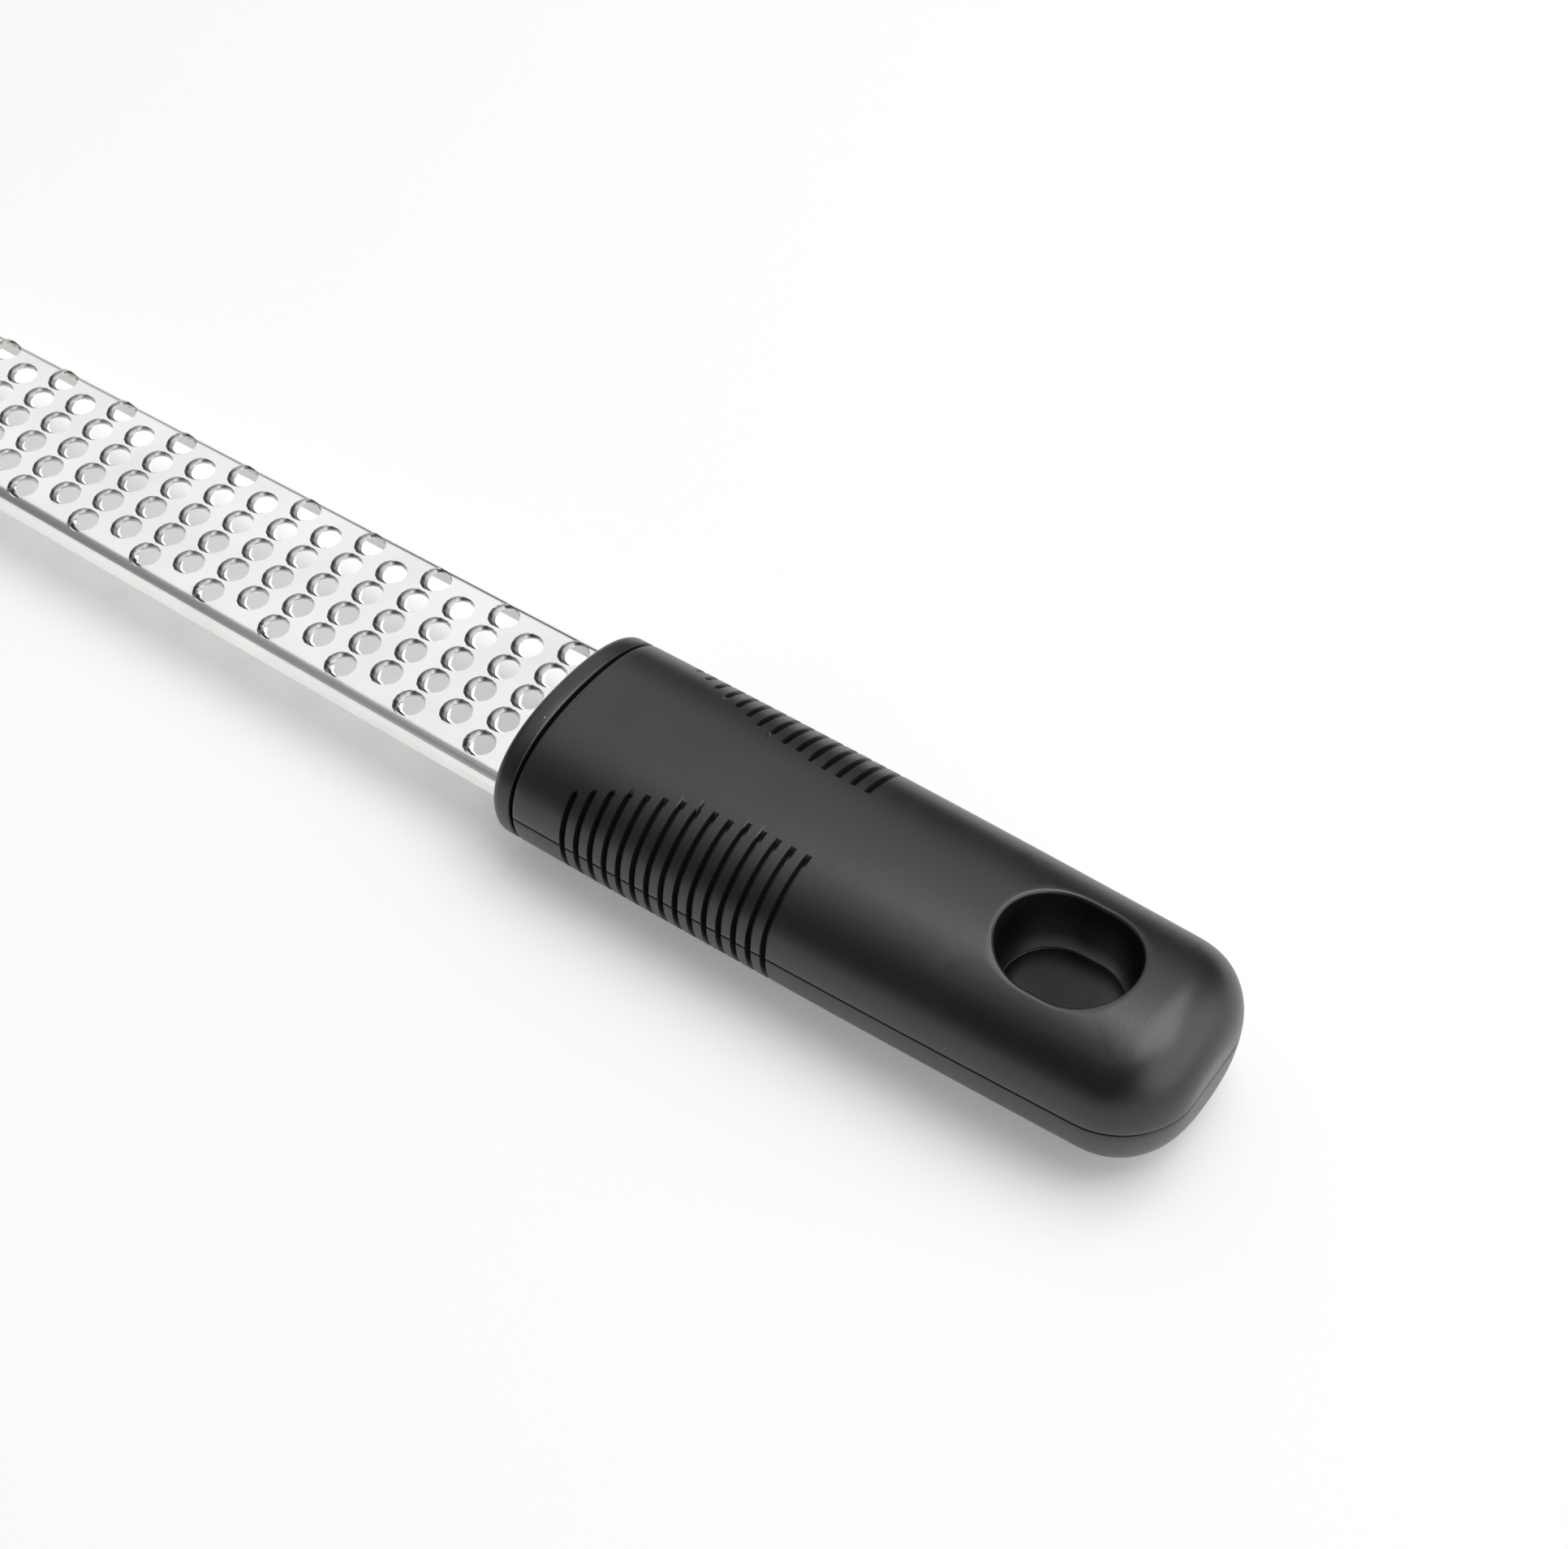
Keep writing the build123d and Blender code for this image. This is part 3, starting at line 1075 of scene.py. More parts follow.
    def fold(self, points: np.ndarray) -> np.ndarray:
        """Bends the flat sheet into the strip with its two rails and its rounded tip.

        Args:
            points: Places on the flat sheet, with their height over its top skin as z.

        Returns:
            The places after folding, in the CAD frame.
        """
        x, s, height = points.T
        width = self.half_width(x)
        start = width - self.fold_radius
        beyond = np.abs(s) - start
        turn = np.clip(beyond / self.fold_radius, 0, math.pi / 2)
        down = np.clip(beyond - self.fold_arc, 0, None)
        reach = self.fold_radius + height
        y = np.where(beyond > 0, start + reach * np.sin(turn), np.abs(s))
        z = np.where(beyond > 0, reach * np.cos(turn) - self.fold_radius - down, height)
        past = np.clip(y - (width - self.tip_corner), 0, self.tip_corner)
        corner = self.tip_corner - np.sqrt(self.tip_corner**2 - past**2)
        nose = self.rail_nose * np.clip(-z - self.fold_radius, 0, None) / (self.rail_depth - self.fold_radius)
        cut = np.where(beyond > 0, np.maximum(corner, nose), corner)
        first_line = LAYOUT.strip_end - self.cell_width * self.cells
        share = np.clip((first_line - x) / (first_line - LAYOUT.tip), 0, 1)
        return np.column_stack((x + cut * share, np.sign(s) * y, LAYOUT.blade_level + z))

    def add_tang(self, shape: bmesh.types.BMesh) -> None:
        """Adds the flat tongue that the handle's core clamps, bored for its pins.

        Args:
            shape: The folded strip.
        """
        start = LAYOUT.strip_end - self.tang_lap
        width, end, radius = self.tang_half_width, self.tang_end, self.tang_corner
        outline = [(start, -width)]
        for centre_y, first in ((-(width - radius), -90), (width - radius, 0)):
            for turn in quarter_turn(self.tang_corner_steps, first):
                outline.append((end - radius + radius * math.cos(turn), centre_y + radius * math.sin(turn)))
        outline.append((start, width))
        turns = [math.tau * k / self.pin_sides for k in range(self.pin_sides)]
        bore = [(self.pin_radius * math.cos(a), self.pin_radius * math.sin(a)) for a in turns]
        loops = [outline] + [[(place + x, y) for x, y in bore] for place in self.pin_places]
        top = LAYOUT.blade_level - self.tang_inset
        underside = LAYOUT.blade_level - self.sheet + self.tang_inset
        skins = []
        for height in (top, underside):
            edges = []
            for loop in loops:
                verts = [shape.verts.new((x, y, height)) for x, y in loop]
                edges += [shape.edges.new((a, b)) for a, b in zip(verts, verts[1:] + verts[:1])]
            skins.append(edges)
            bmesh.ops.triangle_fill(shape, use_beauty=True, edges=edges)
        for high, low in zip(*skins):
            shape.faces.new((high.verts[0], high.verts[1], low.verts[1], low.verts[0]))

    def build(self) -> bpy.types.Object:
        """Makes the blade.

        Returns:
            The finished piece.
        """
        thing = object_from("blade", self.tooth_cell())
        self.tooth_tree().run(
            thing,
            {
                "Teeth in a Row": self.columns,
                "Rows": self.rows,
                "Pitch": self.pitch,
                "Row Step": self.row_step,
                "Last Tooth": LAYOUT.handle_front - self.last_tooth_setback,
                "First Tooth Limit": LAYOUT.tip + self.tip_margin,
                "Weld": self.cell_weld,
                "Material": self.material,
            },
        )
        shape = bmesh.new()
        shape.from_mesh(thing.data)
        self.fill_plain_sheet(shape)
        bmesh.ops.remove_doubles(shape, verts=shape.verts, dist=self.sheet_weld)
        self.close_rim(shape)
        self.score_folds(shape)
        places = self.fold(np.array([v.co for v in shape.verts]))
        for vert, place in zip(shape.verts, places):
            vert.co = place
        self.add_tang(shape)
        turn_outwards(shape)
        shade_smooth(shape, self.crisp_limit)
        shape.to_mesh(thing.data)
        shape.free()
        return self.dress(thing)

    def dress(self, thing: bpy.types.Object) -> bpy.types.Object:
        """Weights the normals by face, so flat steel stays flat, marks the teeth's painted shade, and gives
        the finish.

        Args:
            thing: The blade's object.

        Returns:
            The finished piece.
        """
        tool = thing.modifiers.new("weighted", "WEIGHTED_NORMAL")
        tool.keep_sharp = True
        tool.weight = self.flat_weight
        settle(thing)
        # marks painted shade on the teeth's sides, by the way that each corner faces
        self.shade.mark(thing.data)
        return finish_piece(thing, self.material, "blade_steel", "grater_blade")


@dataclass(frozen=True)
class HandleForm:
    """The handle's outside form, by its section at each place along the tool."""

    front_width: float = 37.0
    middle_width: float = 36.4
    rear_width: float = 33.4
    front_crown: float = 10.1
    rear_crown: float = 10.7
    front_seam_drop: float = 2.2
    rear_seam_drop: float = 0.9
    belly_cut: float = 0.35
    rear_plan_radius: float = 11.5
    rear_top_radius: float = 8.5
    rear_belly_radius: float = 9.5
    upper_fullness: float = 0.64
    lower_fullness: float = 0.665
    curve_samples: int = 2001

    def end_cut(self, x: np.ndarray, radius: float) -> np.ndarray:
        """Returns how far the rounded rear end has drawn in at x."""
        run = np.clip(x - (LAYOUT.handle_rear - radius), 0, radius)
        return radius - np.sqrt(radius**2 - run**2)

    @staticmethod
    def share(x: np.ndarray) -> np.ndarray:
        """Returns 0 at the front of the handle and 1 at its rear end."""
        return (x - LAYOUT.handle_front) / (LAYOUT.handle_rear - LAYOUT.handle_front)

    def seam(self, x: np.ndarray) -> np.ndarray:
        """Returns the height of the seam between the two shells at x."""
        s = self.share(x)
        return LAYOUT.blade_level - self.front_seam_drop * (1 - s) - self.rear_seam_drop * s

    def half_width(self, x: np.ndarray) -> np.ndarray:
        """Works out half the handle's width, by a parabola through its three widths.

        Args:
            x: Places along the tool.

        Returns:
            Half the width at each place.
        """
        s = self.share(x)
        front = self.front_width * (1 - s) * (1 - 2 * s)
        middle = self.middle_width * 4 * s * (1 - s)
        rear = self.rear_width * s * (2 * s - 1)
        return (front + middle + rear) / 2 - self.end_cut(x, self.rear_plan_radius)

    def reach(self, x: np.ndarray, half: Half) -> np.ndarray:
        """Works out how far the handle reaches above or below its seam.

        Args:
            x: Places along the tool.
            half: Above or below.

        Returns:
            The reach at each place.
        """
        if half is Half.UPPER:
            s = self.share(x)
            top = LAYOUT.blade_level + self.front_crown * (1 - s) + self.rear_crown * s
            return top - self.seam(x) - self.end_cut(x, self.rear_top_radius)
        return self.seam(x) + self.belly_cut - self.end_cut(x, self.rear_belly_radius)

    def fullness(self, half: Half) -> float:
        """Returns how full the section's curve is."""
        return self.upper_fullness if half is Half.UPPER else self.lower_fullness

    def across(self, u: np.ndarray, half: Half) -> np.ndarray:
        """Returns the share of the half width at u, from 1 at the seam to 0 in the middle."""
        return (1 - u) ** 3 + 3 * (1 - u) ** 2 * u + 3 * (1 - u) * u**2 * self.fullness(half)

    def upward(self, u: np.ndarray, half: Half) -> np.ndarray:
        """Returns the share of the reach at u, from 0 at the seam to 1 in the middle."""
        return 3 * (1 - u) ** 2 * u * self.fullness(half) + 3 * (1 - u) * u**2 + u**3

    def across_slope(self, u: np.ndarray, half: Half) -> np.ndarray:
        """Returns how fast across changes at u."""
        return 6 * (1 - u) * u * (self.fullness(half) - 1) - 3 * u**2 * self.fullness(half)

    def upward_slope(self, u: np.ndarray, half: Half) -> np.ndarray:
        """Returns how fast upward changes at u."""
        return 3 * (1 - u) ** 2 * self.fullness(half) + 6 * (1 - u) * u * (1 - self.fullness(half))

    def place_on_curve(self, share: np.ndarray | float, half: Half) -> np.ndarray | float:
        """Returns the u at which the skin has a share of the half width."""
        table = np.linspace(0, 1, self.curve_samples)
        return np.interp(-share, -self.across(table, half), table)

    def level(self, x: np.ndarray, y: np.ndarray, half: Half) -> np.ndarray:
        """Works out the height of the skin over or under places in plan.

        Args:
            x: Places along the tool.
            y: Places across it.
            half: The upper or the lower skin.

        Returns:
            The skin's height at each place.
        """
        share = np.clip(np.abs(y) / self.half_width(x), 0, 1)
        u = self.place_on_curve(share, half)
        return self.seam(x) + half.value * self.reach(x, half) * self.upward(u, half)


@dataclass(frozen=True)
class GrooveRun:
    """The run of finger grooves on each flank of the handle."""

    count: int = 15
    pitch: float = 2.535
    width: float = 1.05
    depth: float = 1.1
    setback: float = 13.6
    first_end: float = 14.4
    last_end: float = 7.4
    sweep_power: float = 2.4
    wall: float = 0.26
    wall_steps: int = 4
    floor_share: float = 0.6
    rim_gap: float = 0.12

    @property
    def first(self) -> float:
        """Place of the first groove along the tool."""
        return LAYOUT.handle_front + self.setback

    def stations(self) -> list[float]:
        """Works out where the grooves' walls need lines across the handle.

        Returns:
            Places along the tool.
        """
        half, wall, steps = self.width / 2, self.wall, self.wall_steps
        offsets = [0.0, self.floor_share * (half - wall), half - wall]
        offsets += [half - wall * (1 - k / steps) for k in range(1, steps + 1)]
        offsets += [half + self.rim_gap]
        centres = [self.first + self.pitch * index for index in range(self.count)]
        return [centre + sign * offset for centre in centres for offset in offsets for sign in (1, -1)]

    def tree(self) -> FormulaTree:
        """Builds the tree that presses the grooves into a shell's outer skin.

        Returns:
            The tree.
        """
        tree = FormulaTree("finger_grooves")
        take = tree.take
        count, pitch, width, depth = take("Count"), take("Pitch"), take("Width"), take("Depth")
        first, wall, power = take("First Groove"), take("Wall"), take("Sweep Power")
        first_end, last_end = take("First End"), take("Last End")
        material = take("Material", "Material")
        x, y = tree.plan()
        last_index = tree.math("SUBTRACT", count, 1.0)
        run = tree.math("SUBTRACT", x, first)
        nearest = tree.math("ROUND", tree.math("DIVIDE", run, pitch))
        index = tree.math("MINIMUM", tree.math("MAXIMUM", nearest, 0.0), last_index)
        aside = tree.math("SUBTRACT", run, tree.math("MULTIPLY", index, pitch))
        left = tree.math("SUBTRACT", 1.0, tree.math("DIVIDE", index, last_index))
        sweep = tree.math("SUBTRACT", 1.0, tree.math("POWER", left, power))
        growth = tree.math("MULTIPLY", tree.math("SUBTRACT", last_end, first_end), sweep)
        half = tree.math("MULTIPLY", width, 0.5)
        reach = tree.math("ADD", tree.math("ADD", first_end, growth), half)
        short = tree.math("MAXIMUM", tree.math("SUBTRACT", reach, tree.math("ABSOLUTE", y)), 0.0)
        square = tree.math("ADD", tree.math("MULTIPLY", aside, aside), tree.math("MULTIPLY", short, short))
        pressed = tree.node(
            "ShaderNodeMapRange",
            {0: tree.math("SQRT", square), 1: half, 2: tree.math("SUBTRACT", half, wall), 3: 0.0, 4: depth},
            interpolation_type="SMOOTHSTEP",
        )
        inward = tree.node("GeometryNodeInputNamedAttribute", {"Name": INWARD}, data_type="FLOAT_VECTOR")
        push = tree.node(
            "ShaderNodeVectorMath",
            {0: inward.outputs["Attribute"], "Scale": pressed.outputs[0]},
            operation="SCALE",
        )
        moved = tree.node(
            "GeometryNodeSetPosition", {"Geometry": tree.entry.outputs["Geometry"], "Offset": push.outputs[0]}
        )
        tree.close(moved.outputs[0], material)
        return tree

    def press(self, thing: bpy.types.Object, material: bpy.types.Material) -> None:
        """Presses the grooves into a shell whose skin carries its inward direction.

        Args:
            thing: The shell.
            material: Its finish.
        """
        self.tree().run(
            thing,
            {
                "Count": float(self.count),
                "Pitch": self.pitch,
                "Width": self.width,
                "Depth": self.depth,
                "First Groove": self.first,
                "Wall": self.wall,
                "Sweep Power": self.sweep_power,
                "First End": self.first_end,
                "Last End": self.last_end,
                "Material": material,
            },
        )


@dataclass(frozen=True)
class HangingHole:
    """The slot through the handle's rear, which narrows downwards between its rounded rims."""

    centre: float = 133.95
    length: float = 20.8
    width: float = 17.8
    top_level: float = 25.0
    draft: float = 6.5
    rim_round: float = 0.55
    rim_steps: int = 6
    window_margin: float = 3.0
    window_share: float = 0.70
    skin_shares: tuple[float, float, float] = (0.3, 0.6, 0.85)
    wall_shares: tuple[float, float] = (0.35, 0.7)
    level_rounds: int = 3
    # where the painted shade down the hole's wall reaches, starts and how it fades
    painted_shade_tolerance: float = 0.2
    painted_shade_start: float = 0.3
    painted_shade_fade: float = 3.0

    @property
    def straight(self) -> float:
        """Half the distance between the middles of the slot's round ends."""
        return (self.length - self.width) / 2

    @property
    def window(self) -> tuple[float, float]:
        """Where the patch of skin round the hole starts and ends along the tool."""
        reach = self.length / 2 + self.window_margin
        return self.centre - reach, self.centre + reach

    def radius(self, level: np.ndarray) -> np.ndarray:
        """Returns the radius of the slot's round ends at a level."""
        return self.width / 2 - (self.top_level - level) * math.tan(math.radians(self.draft))

    def outline(self, turn: np.ndarray, level: np.ndarray) -> tuple[np.ndarray, np.ndarray]:
        """Works out the slot's outline in some directions from its middle.

        Args:
            turn: The directions.
            level: The level that each point lies at.

        Returns:
            The outline's points in plan and its outward normals there.
        """
        radius, straight = self.radius(level), self.straight
        cosine, sine = np.cos(turn), np.sin(turn)
        flat_reach = radius / np.maximum(np.abs(sine), 1e-9)
        on_flat = np.abs(flat_reach * cosine) <= straight
        round_reach = straight * np.abs(cosine) + np.sqrt(np.maximum(radius**2 - (straight * sine) ** 2, 0))
        reach = np.where(on_flat, flat_reach, round_reach)
        points = np.column_stack((reach * cosine, reach * sine))
        away_x = np.where(on_flat, 0.0, (points[:, 0] - np.sign(cosine) * straight) / radius)
        away_y = np.where(on_flat, np.sign(sine), points[:, 1] / radius)
        return points + np.array((self.centre, 0.0)), np.column_stack((away_x, away_y))

    def mark_hole_painted_shade(self, mesh: bpy.types.Mesh, form: HandleForm) -> None:
        """Marks painted shade on the wall of the hole, which darkens below its rim.

        Args:
            mesh: A shell's mesh, in millimetres.
            form: The handle's form.
        """
        places = np.array([vert.co[:] for vert in mesh.vertices])
        beyond = np.maximum(np.abs(places[:, 0] - self.centre) - self.straight, 0)
        inside = np.hypot(beyond, places[:, 1]) < self.radius(places[:, 2]) + self.painted_shade_tolerance
        depth = form.level(places[:, 0], places[:, 1], Half.UPPER) - places[:, 2]
        dark = np.clip((depth - self.painted_shade_start) / self.painted_shade_fade, 0, 1)
        write_attribute(mesh, HOLE_PAINTED_SHADE, "POINT", np.where(inside, dark, 0.0))


@dataclass(frozen=True)
class SkinLines:
    """How closely the lines of a shell's skin lie, along the tool and up its flanks."""

    front_round_steps: int = 4
    front_gap: float = 1.2
    front_pitch: float = 1.4
    before_grooves: float = 0.3
    after_grooves: float = 0.8
    middle_pitch: float = 1.5
    window_gap: float = 0.5
    window_count: int = 25
    rear_gap: float = 0.4
    rear_count: int = 22
    flank: tuple[tuple[float, float, int], ...] = ((0.06, 0.30, 11), (0.315, 0.62, 30), (0.65, 1.0, 12))
    flank_gap: float = 0.006
    seam_round_steps: int = 3


@dataclass
class GripShell:
    """One soft shell of the handle: an outer skin with grooves, round the core's pocket."""

    half: Half
    material: bpy.types.Material
    form: HandleForm = field(default_factory=HandleForm)
    grooves: GrooveRun = field(default_factory=GrooveRun)
    hole: HangingHole = field(default_factory=HangingHole)
    lines: SkinLines = field(default_factory=SkinLines)
    seam_gap: float = 0.13
    seam_depth: float = 0.8
    seam_foot: float = 2.0
    seam_round: float = 0.12
    front_round: float = 0.35
    slope_step: float = 0.002

    def stations(self) -> tuple[np.ndarray, np.ndarray]:
        """Works out the places of the skin's sections.

        Returns:
            The places along the tool and how far each section is drawn in.
        """
        lines, rear = self.lines, LAYOUT.handle_rear
        turns = quarter_turn(lines.front_round_steps)
        rolled = rolled_edge(LAYOUT.shell_front, 1, self.front_round, turns)
        grooves = self.grooves.stations()
        low, high = self.hole.window
        first, last = rolled[-1][0] + lines.front_gap, min(grooves) - lines.before_grooves
        plain = [*np.arange(first, last, lines.front_pitch)]
        first, last = max(grooves) + lines.after_grooves, low - lines.window_gap
        plain += [*np.arange(first, last, lines.middle_pitch)]
        plain += [*np.linspace(low, high, lines.window_count)]
        radius = self.form.rear_plan_radius
        start = math.asin(min(max((high + lines.rear_gap - rear + radius) / radius, 0), 1))
        turns = np.linspace(start, math.pi / 2, lines.rear_count)
        ends = [rear - radius * (1 - math.sin(a)) for a in turns]
        rest = sorted({round(float(x), 4) for x in (*grooves, *plain, *ends)})
        xs = [x for x, _ in rolled] + rest
        insets = [inset for _, inset in rolled] + [0.0] * len(rest)
        return np.array(xs), np.array(insets)

    def lip(self) -> tuple[np.ndarray, np.ndarray]:
        """Works out the lines of the groove that runs along the seam.

        Returns:
            The rise and the depth of each line.
        """
        turns = quarter_turn(self.lines.seam_round_steps)
        rise = [0.0, self.seam_gap, *(self.seam_gap + self.seam_round * (1 - np.cos(turns)))]
        inset = [self.seam_foot, self.seam_depth, *(self.seam_round * (1 - np.sin(turns)))]
        return np.array(rise), np.array(inset)

    def flank_rows(self) -> tuple[np.ndarray, int]:
        """Works out the rows of one flank above the seam's groove.

        Returns:
            Their places on the section's curve, and the index of the row that edges the hole's window.
        """
        fine = np.concatenate([np.linspace(*stretch) for stretch in self.lines.flank])
        edge = float(self.form.place_on_curve(self.hole.window_share, self.half))
        fine = np.sort(np.append(fine[np.abs(fine - edge) > self.lines.flank_gap], edge))
        return fine, int(np.argmin(np.abs(fine - edge)))

    def skin(self) -> tuple[np.ndarray, np.ndarray]:
        """Works out the outer skin.

        The first index of its grid runs along the tool and the second from the near seam, where
        y is positive, over the middle to the far one.

        Returns:
            The grid of points and their inward directions.
        """
        xs, end_insets = self.stations()
        rise, lip_insets = self.lip()
        flank, _ = self.flank_rows()
        insets = np.concatenate((lip_insets, np.zeros(len(flank))))[None, :]
        form, half, sign = self.form, self.half, self.half.value
        width = form.half_width(xs)[:, None] - end_insets[:, None]
        reach = form.reach(xs, half)[:, None] - end_insets[:, None]
        lip_rows = rise[None, :] / (3 * form.fullness(half) * reach)
        u = np.concatenate((lip_rows, np.broadcast_to(flank, (len(xs), len(flank)))), axis=1)
        plan_x, plan_y = self.plan_normal(xs)
        x = xs[:, None] - plan_x[:, None] * insets
        y = width * form.across(u, half) - plan_y[:, None] * insets
        z = reach * form.upward(u, half)
        slope_y, slope_z = width * form.across_slope(u, half), reach * form.upward_slope(u, half)
        length = np.sqrt(slope_y**2 + slope_z**2)
        near = np.stack((x, y, form.seam(xs)[:, None] + sign * z), axis=2)
        pull = np.stack((np.zeros_like(y), -slope_z / length, sign * (slope_y / length)), axis=2)
        pull[:, 0] = 0.0
        mirror = np.array((1.0, -1.0, 1.0))
        grid = np.concatenate((near, near[:, -2::-1] * mirror), axis=1)
        inward = np.concatenate((pull, pull[:, -2::-1] * mirror), axis=1)
        if half is Half.LOWER:
            grid[:, :, 2] = np.maximum(grid[:, :, 2], 0.0)
        return grid, inward

    def plan_normal(self, xs: np.ndarray) -> tuple[np.ndarray, np.ndarray]:
        """Works out which way the flank faces in plan.

        Args:
            xs: Places along the tool.

        Returns:
            The X and Y of the outward direction at each place.
        """
        step, rear = self.slope_step, LAYOUT.handle_rear
        before, after = np.minimum(xs, rear - step) - step, np.minimum(xs + step, rear)
        slope = (self.form.half_width(after) - self.form.half_width(before)) / (after - before)
        length = np.sqrt(1 + slope**2)
        return -slope / length, 1 / length

    def build(self) -> bpy.types.Object:
        """Makes the shell.

        Returns:
            The finished piece.
        """
        side = self.half.name.lower()
        name = f"grip_shell_{side}"
        thing = object_from(name, self.outer_mesh(name))
        self.grooves.press(thing, self.material)
        clearance = POCKET_SECTION.half_width - CORE_SECTION.half_width
        stop = LAYOUT.core_end + clearance
        cut_away(thing, rounded_bar("pocket", LAYOUT.ring_back, stop, POCKET_SECTION))
        if INWARD in thing.data.attributes:
            thing.data.attributes.remove(thing.data.attributes[INWARD])
        shade_moulded(thing.data)
        # marks painted shade down the hanging hole's wall
        self.hole.mark_hole_painted_shade(thing.data, self.form)
        return finish_piece(thing, self.material, "soft_grip", f"grip_{side}")

    def outer_mesh(self, name: str) -> bpy.types.Mesh:
        """Makes the shell as a full body, without its grooves and its pocket.

        Args:
            name: Name of the mesh.

        Returns:
            The closed mesh, whose skin's points carry their inward direction.
        """
        shape = bmesh.new()
        layer = shape.verts.layers.float_vector.new(INWARD)
        verts, window = self.lay_skin(shape, layer)
        foot = self.lay_hole(shape, window)
        self.close_ends(shape, verts, foot)
        turn_outwards(shape)
        for face in shape.faces:
            face.smooth = True
        mesh = bpy.data.meshes.new(name)
        shape.to_mesh(mesh)
        shape.free()
        return mesh

    def lay_skin(
        self, shape: bmesh.types.BMesh, layer: bmesh.types.BMLayerItem
    ) -> tuple[list[list[bmesh.types.BMVert]], list[bmesh.types.BMVert]]:
        """Adds the skin with the hole's window left out.

        Args:
            shape: The shell so far.
            layer: Where each point's inward direction is kept.

        Returns:
            The grid of new corners, None where the window has none, and the window's rim.
        """
        grid, inward = self.skin()
        first, last = (int(np.argmin(np.abs(grid[:, 0, 0] - end))) for end in self.hole.window)
        near = len(self.lip()[0]) + self.flank_rows()[1]
        far = grid.shape[1] - 1 - near
        verts: list[list] = []
        for i, line in enumerate(grid):
            made: list = []
            for j, point in enumerate(line):
                vert = None
                if not (first < i < last and near < j < far):
                    vert = shape.verts.new(point)
                    vert[layer] = Vector(inward[i, j])
                made.append(vert)
            verts.append(made)
        for i in range(len(verts) - 1):
            for j in range(grid.shape[1] - 1):
                if not (first <= i < last and near <= j < far):
                    shape.faces.new((verts[i][j], verts[i + 1][j], verts[i + 1][j + 1], verts[i][j + 1]))
        window = [verts[i][near] for i in range(first, last)]
        window += [verts[last][j] for j in range(near, far)]
        window += [verts[i][far] for i in range(last, first, -1)]
        window += [verts[first][j] for j in range(far, near, -1)]
        return verts, window

    def hole_rings(self, places: np.ndarray) -> list[np.ndarray]:
        """Works out the skin round the hole, its rolled rim and its wall down to the seam.

        Args:
            places: The window's rim in plan.

        Returns:
            Rings of points, each with one point for each place.
        """
        form, hole, sign = self.form, self.hole, self.half.value
        radius = hole.rim_round
        turn = np.arctan2(places[:, 1], places[:, 0] - hole.centre)
        level = np.full(len(places), hole.top_level if self.half is Half.UPPER else 0.0)
        for _ in range(hole.level_rounds):
            outline, away = hole.outline(turn, level)
            brow = outline + away * radius
            level = form.level(brow[:, 0], brow[:, 1], self.half)
            if self.half is Half.LOWER:
                level = np.maximum(level, 0.0)
        rings = []
        for share in hole.skin_shares:
            flat = places + (brow - places) * share
            rings.append(np.column_stack((flat, form.level(flat[:, 0], flat[:, 1], self.half))))
        for angle in quarter_turn(hole.rim_steps):
            height = level - sign * radius * (1 - math.cos(angle))
            flat = hole.outline(turn, height)[0] + away * radius * (1 - math.sin(angle))
            rings.append(np.column_stack((flat, height)))
        top = rings[-1][:, 2]
        rise, inset = self.lip()
        seam = form.seam(outline[:, 0])
        foot = seam + sign * rise[-1]
        for share in hole.wall_shares:
            height = top + (foot - top) * share
            rings.append(np.column_stack((hole.outline(turn, height)[0], height)))
        for up, back in zip(rise[::-1], inset[::-1]):
            height = seam + sign * up
            rings.append(np.column_stack((hole.outline(turn, height)[0] + away * back, height)))
        if self.half is Half.LOWER:
            for ring in rings:
                ring[:, 2] = np.maximum(ring[:, 2], 0.0)
        return rings

    def lay_hole(
        self, shape: bmesh.types.BMesh, window: list[bmesh.types.BMVert]
    ) -> list[bmesh.types.BMVert]:
        """Fills the window in the skin and adds the hole's wall down to the seam.

        Args:
            shape: The shell so far.
            window: The window's rim.

        Returns:
            The last ring of the hole's wall.
        """
        loop = window
        for ring in self.hole_rings(np.array([v.co[:2] for v in window])):
            after = [shape.verts.new(point) for point in ring]
            for k in range(len(loop)):
                n = (k + 1) % len(loop)
                shape.faces.new((loop[k], loop[n], after[n], after[k]))
            loop = after
        return loop

    @staticmethod
    def close_ends(
        shape: bmesh.types.BMesh, verts: list[list[bmesh.types.BMVert]], foot: list[bmesh.types.BMVert]
    ) -> None:
        """Closes the shell at its front, at its rear end and along the seam.

        Args:
            shape: The shell so far.
            verts: The grid of its skin's corners.
            foot: The last ring of the hole's wall.
        """
        for line, outwards in ((verts[0], -1), (verts[-1], 1)):
            for k in range(len(line) // 2):
                corners = dict.fromkeys((line[k], line[k + 1], line[-k - 2], line[-k - 1]))
                shape.faces.new(list(corners)[::outwards])
        outer = [line[0] for line in verts] + [line[-1] for line in reversed(verts)]
        edges = []
        for loop in (outer, foot):
            for a, b in zip(loop, loop[1:] + loop[:1]):
                edges.append(shape.edges.get((a, b)) or shape.edges.new((a, b)))
        bmesh.ops.triangle_fill(shape, use_beauty=False, edges=edges)


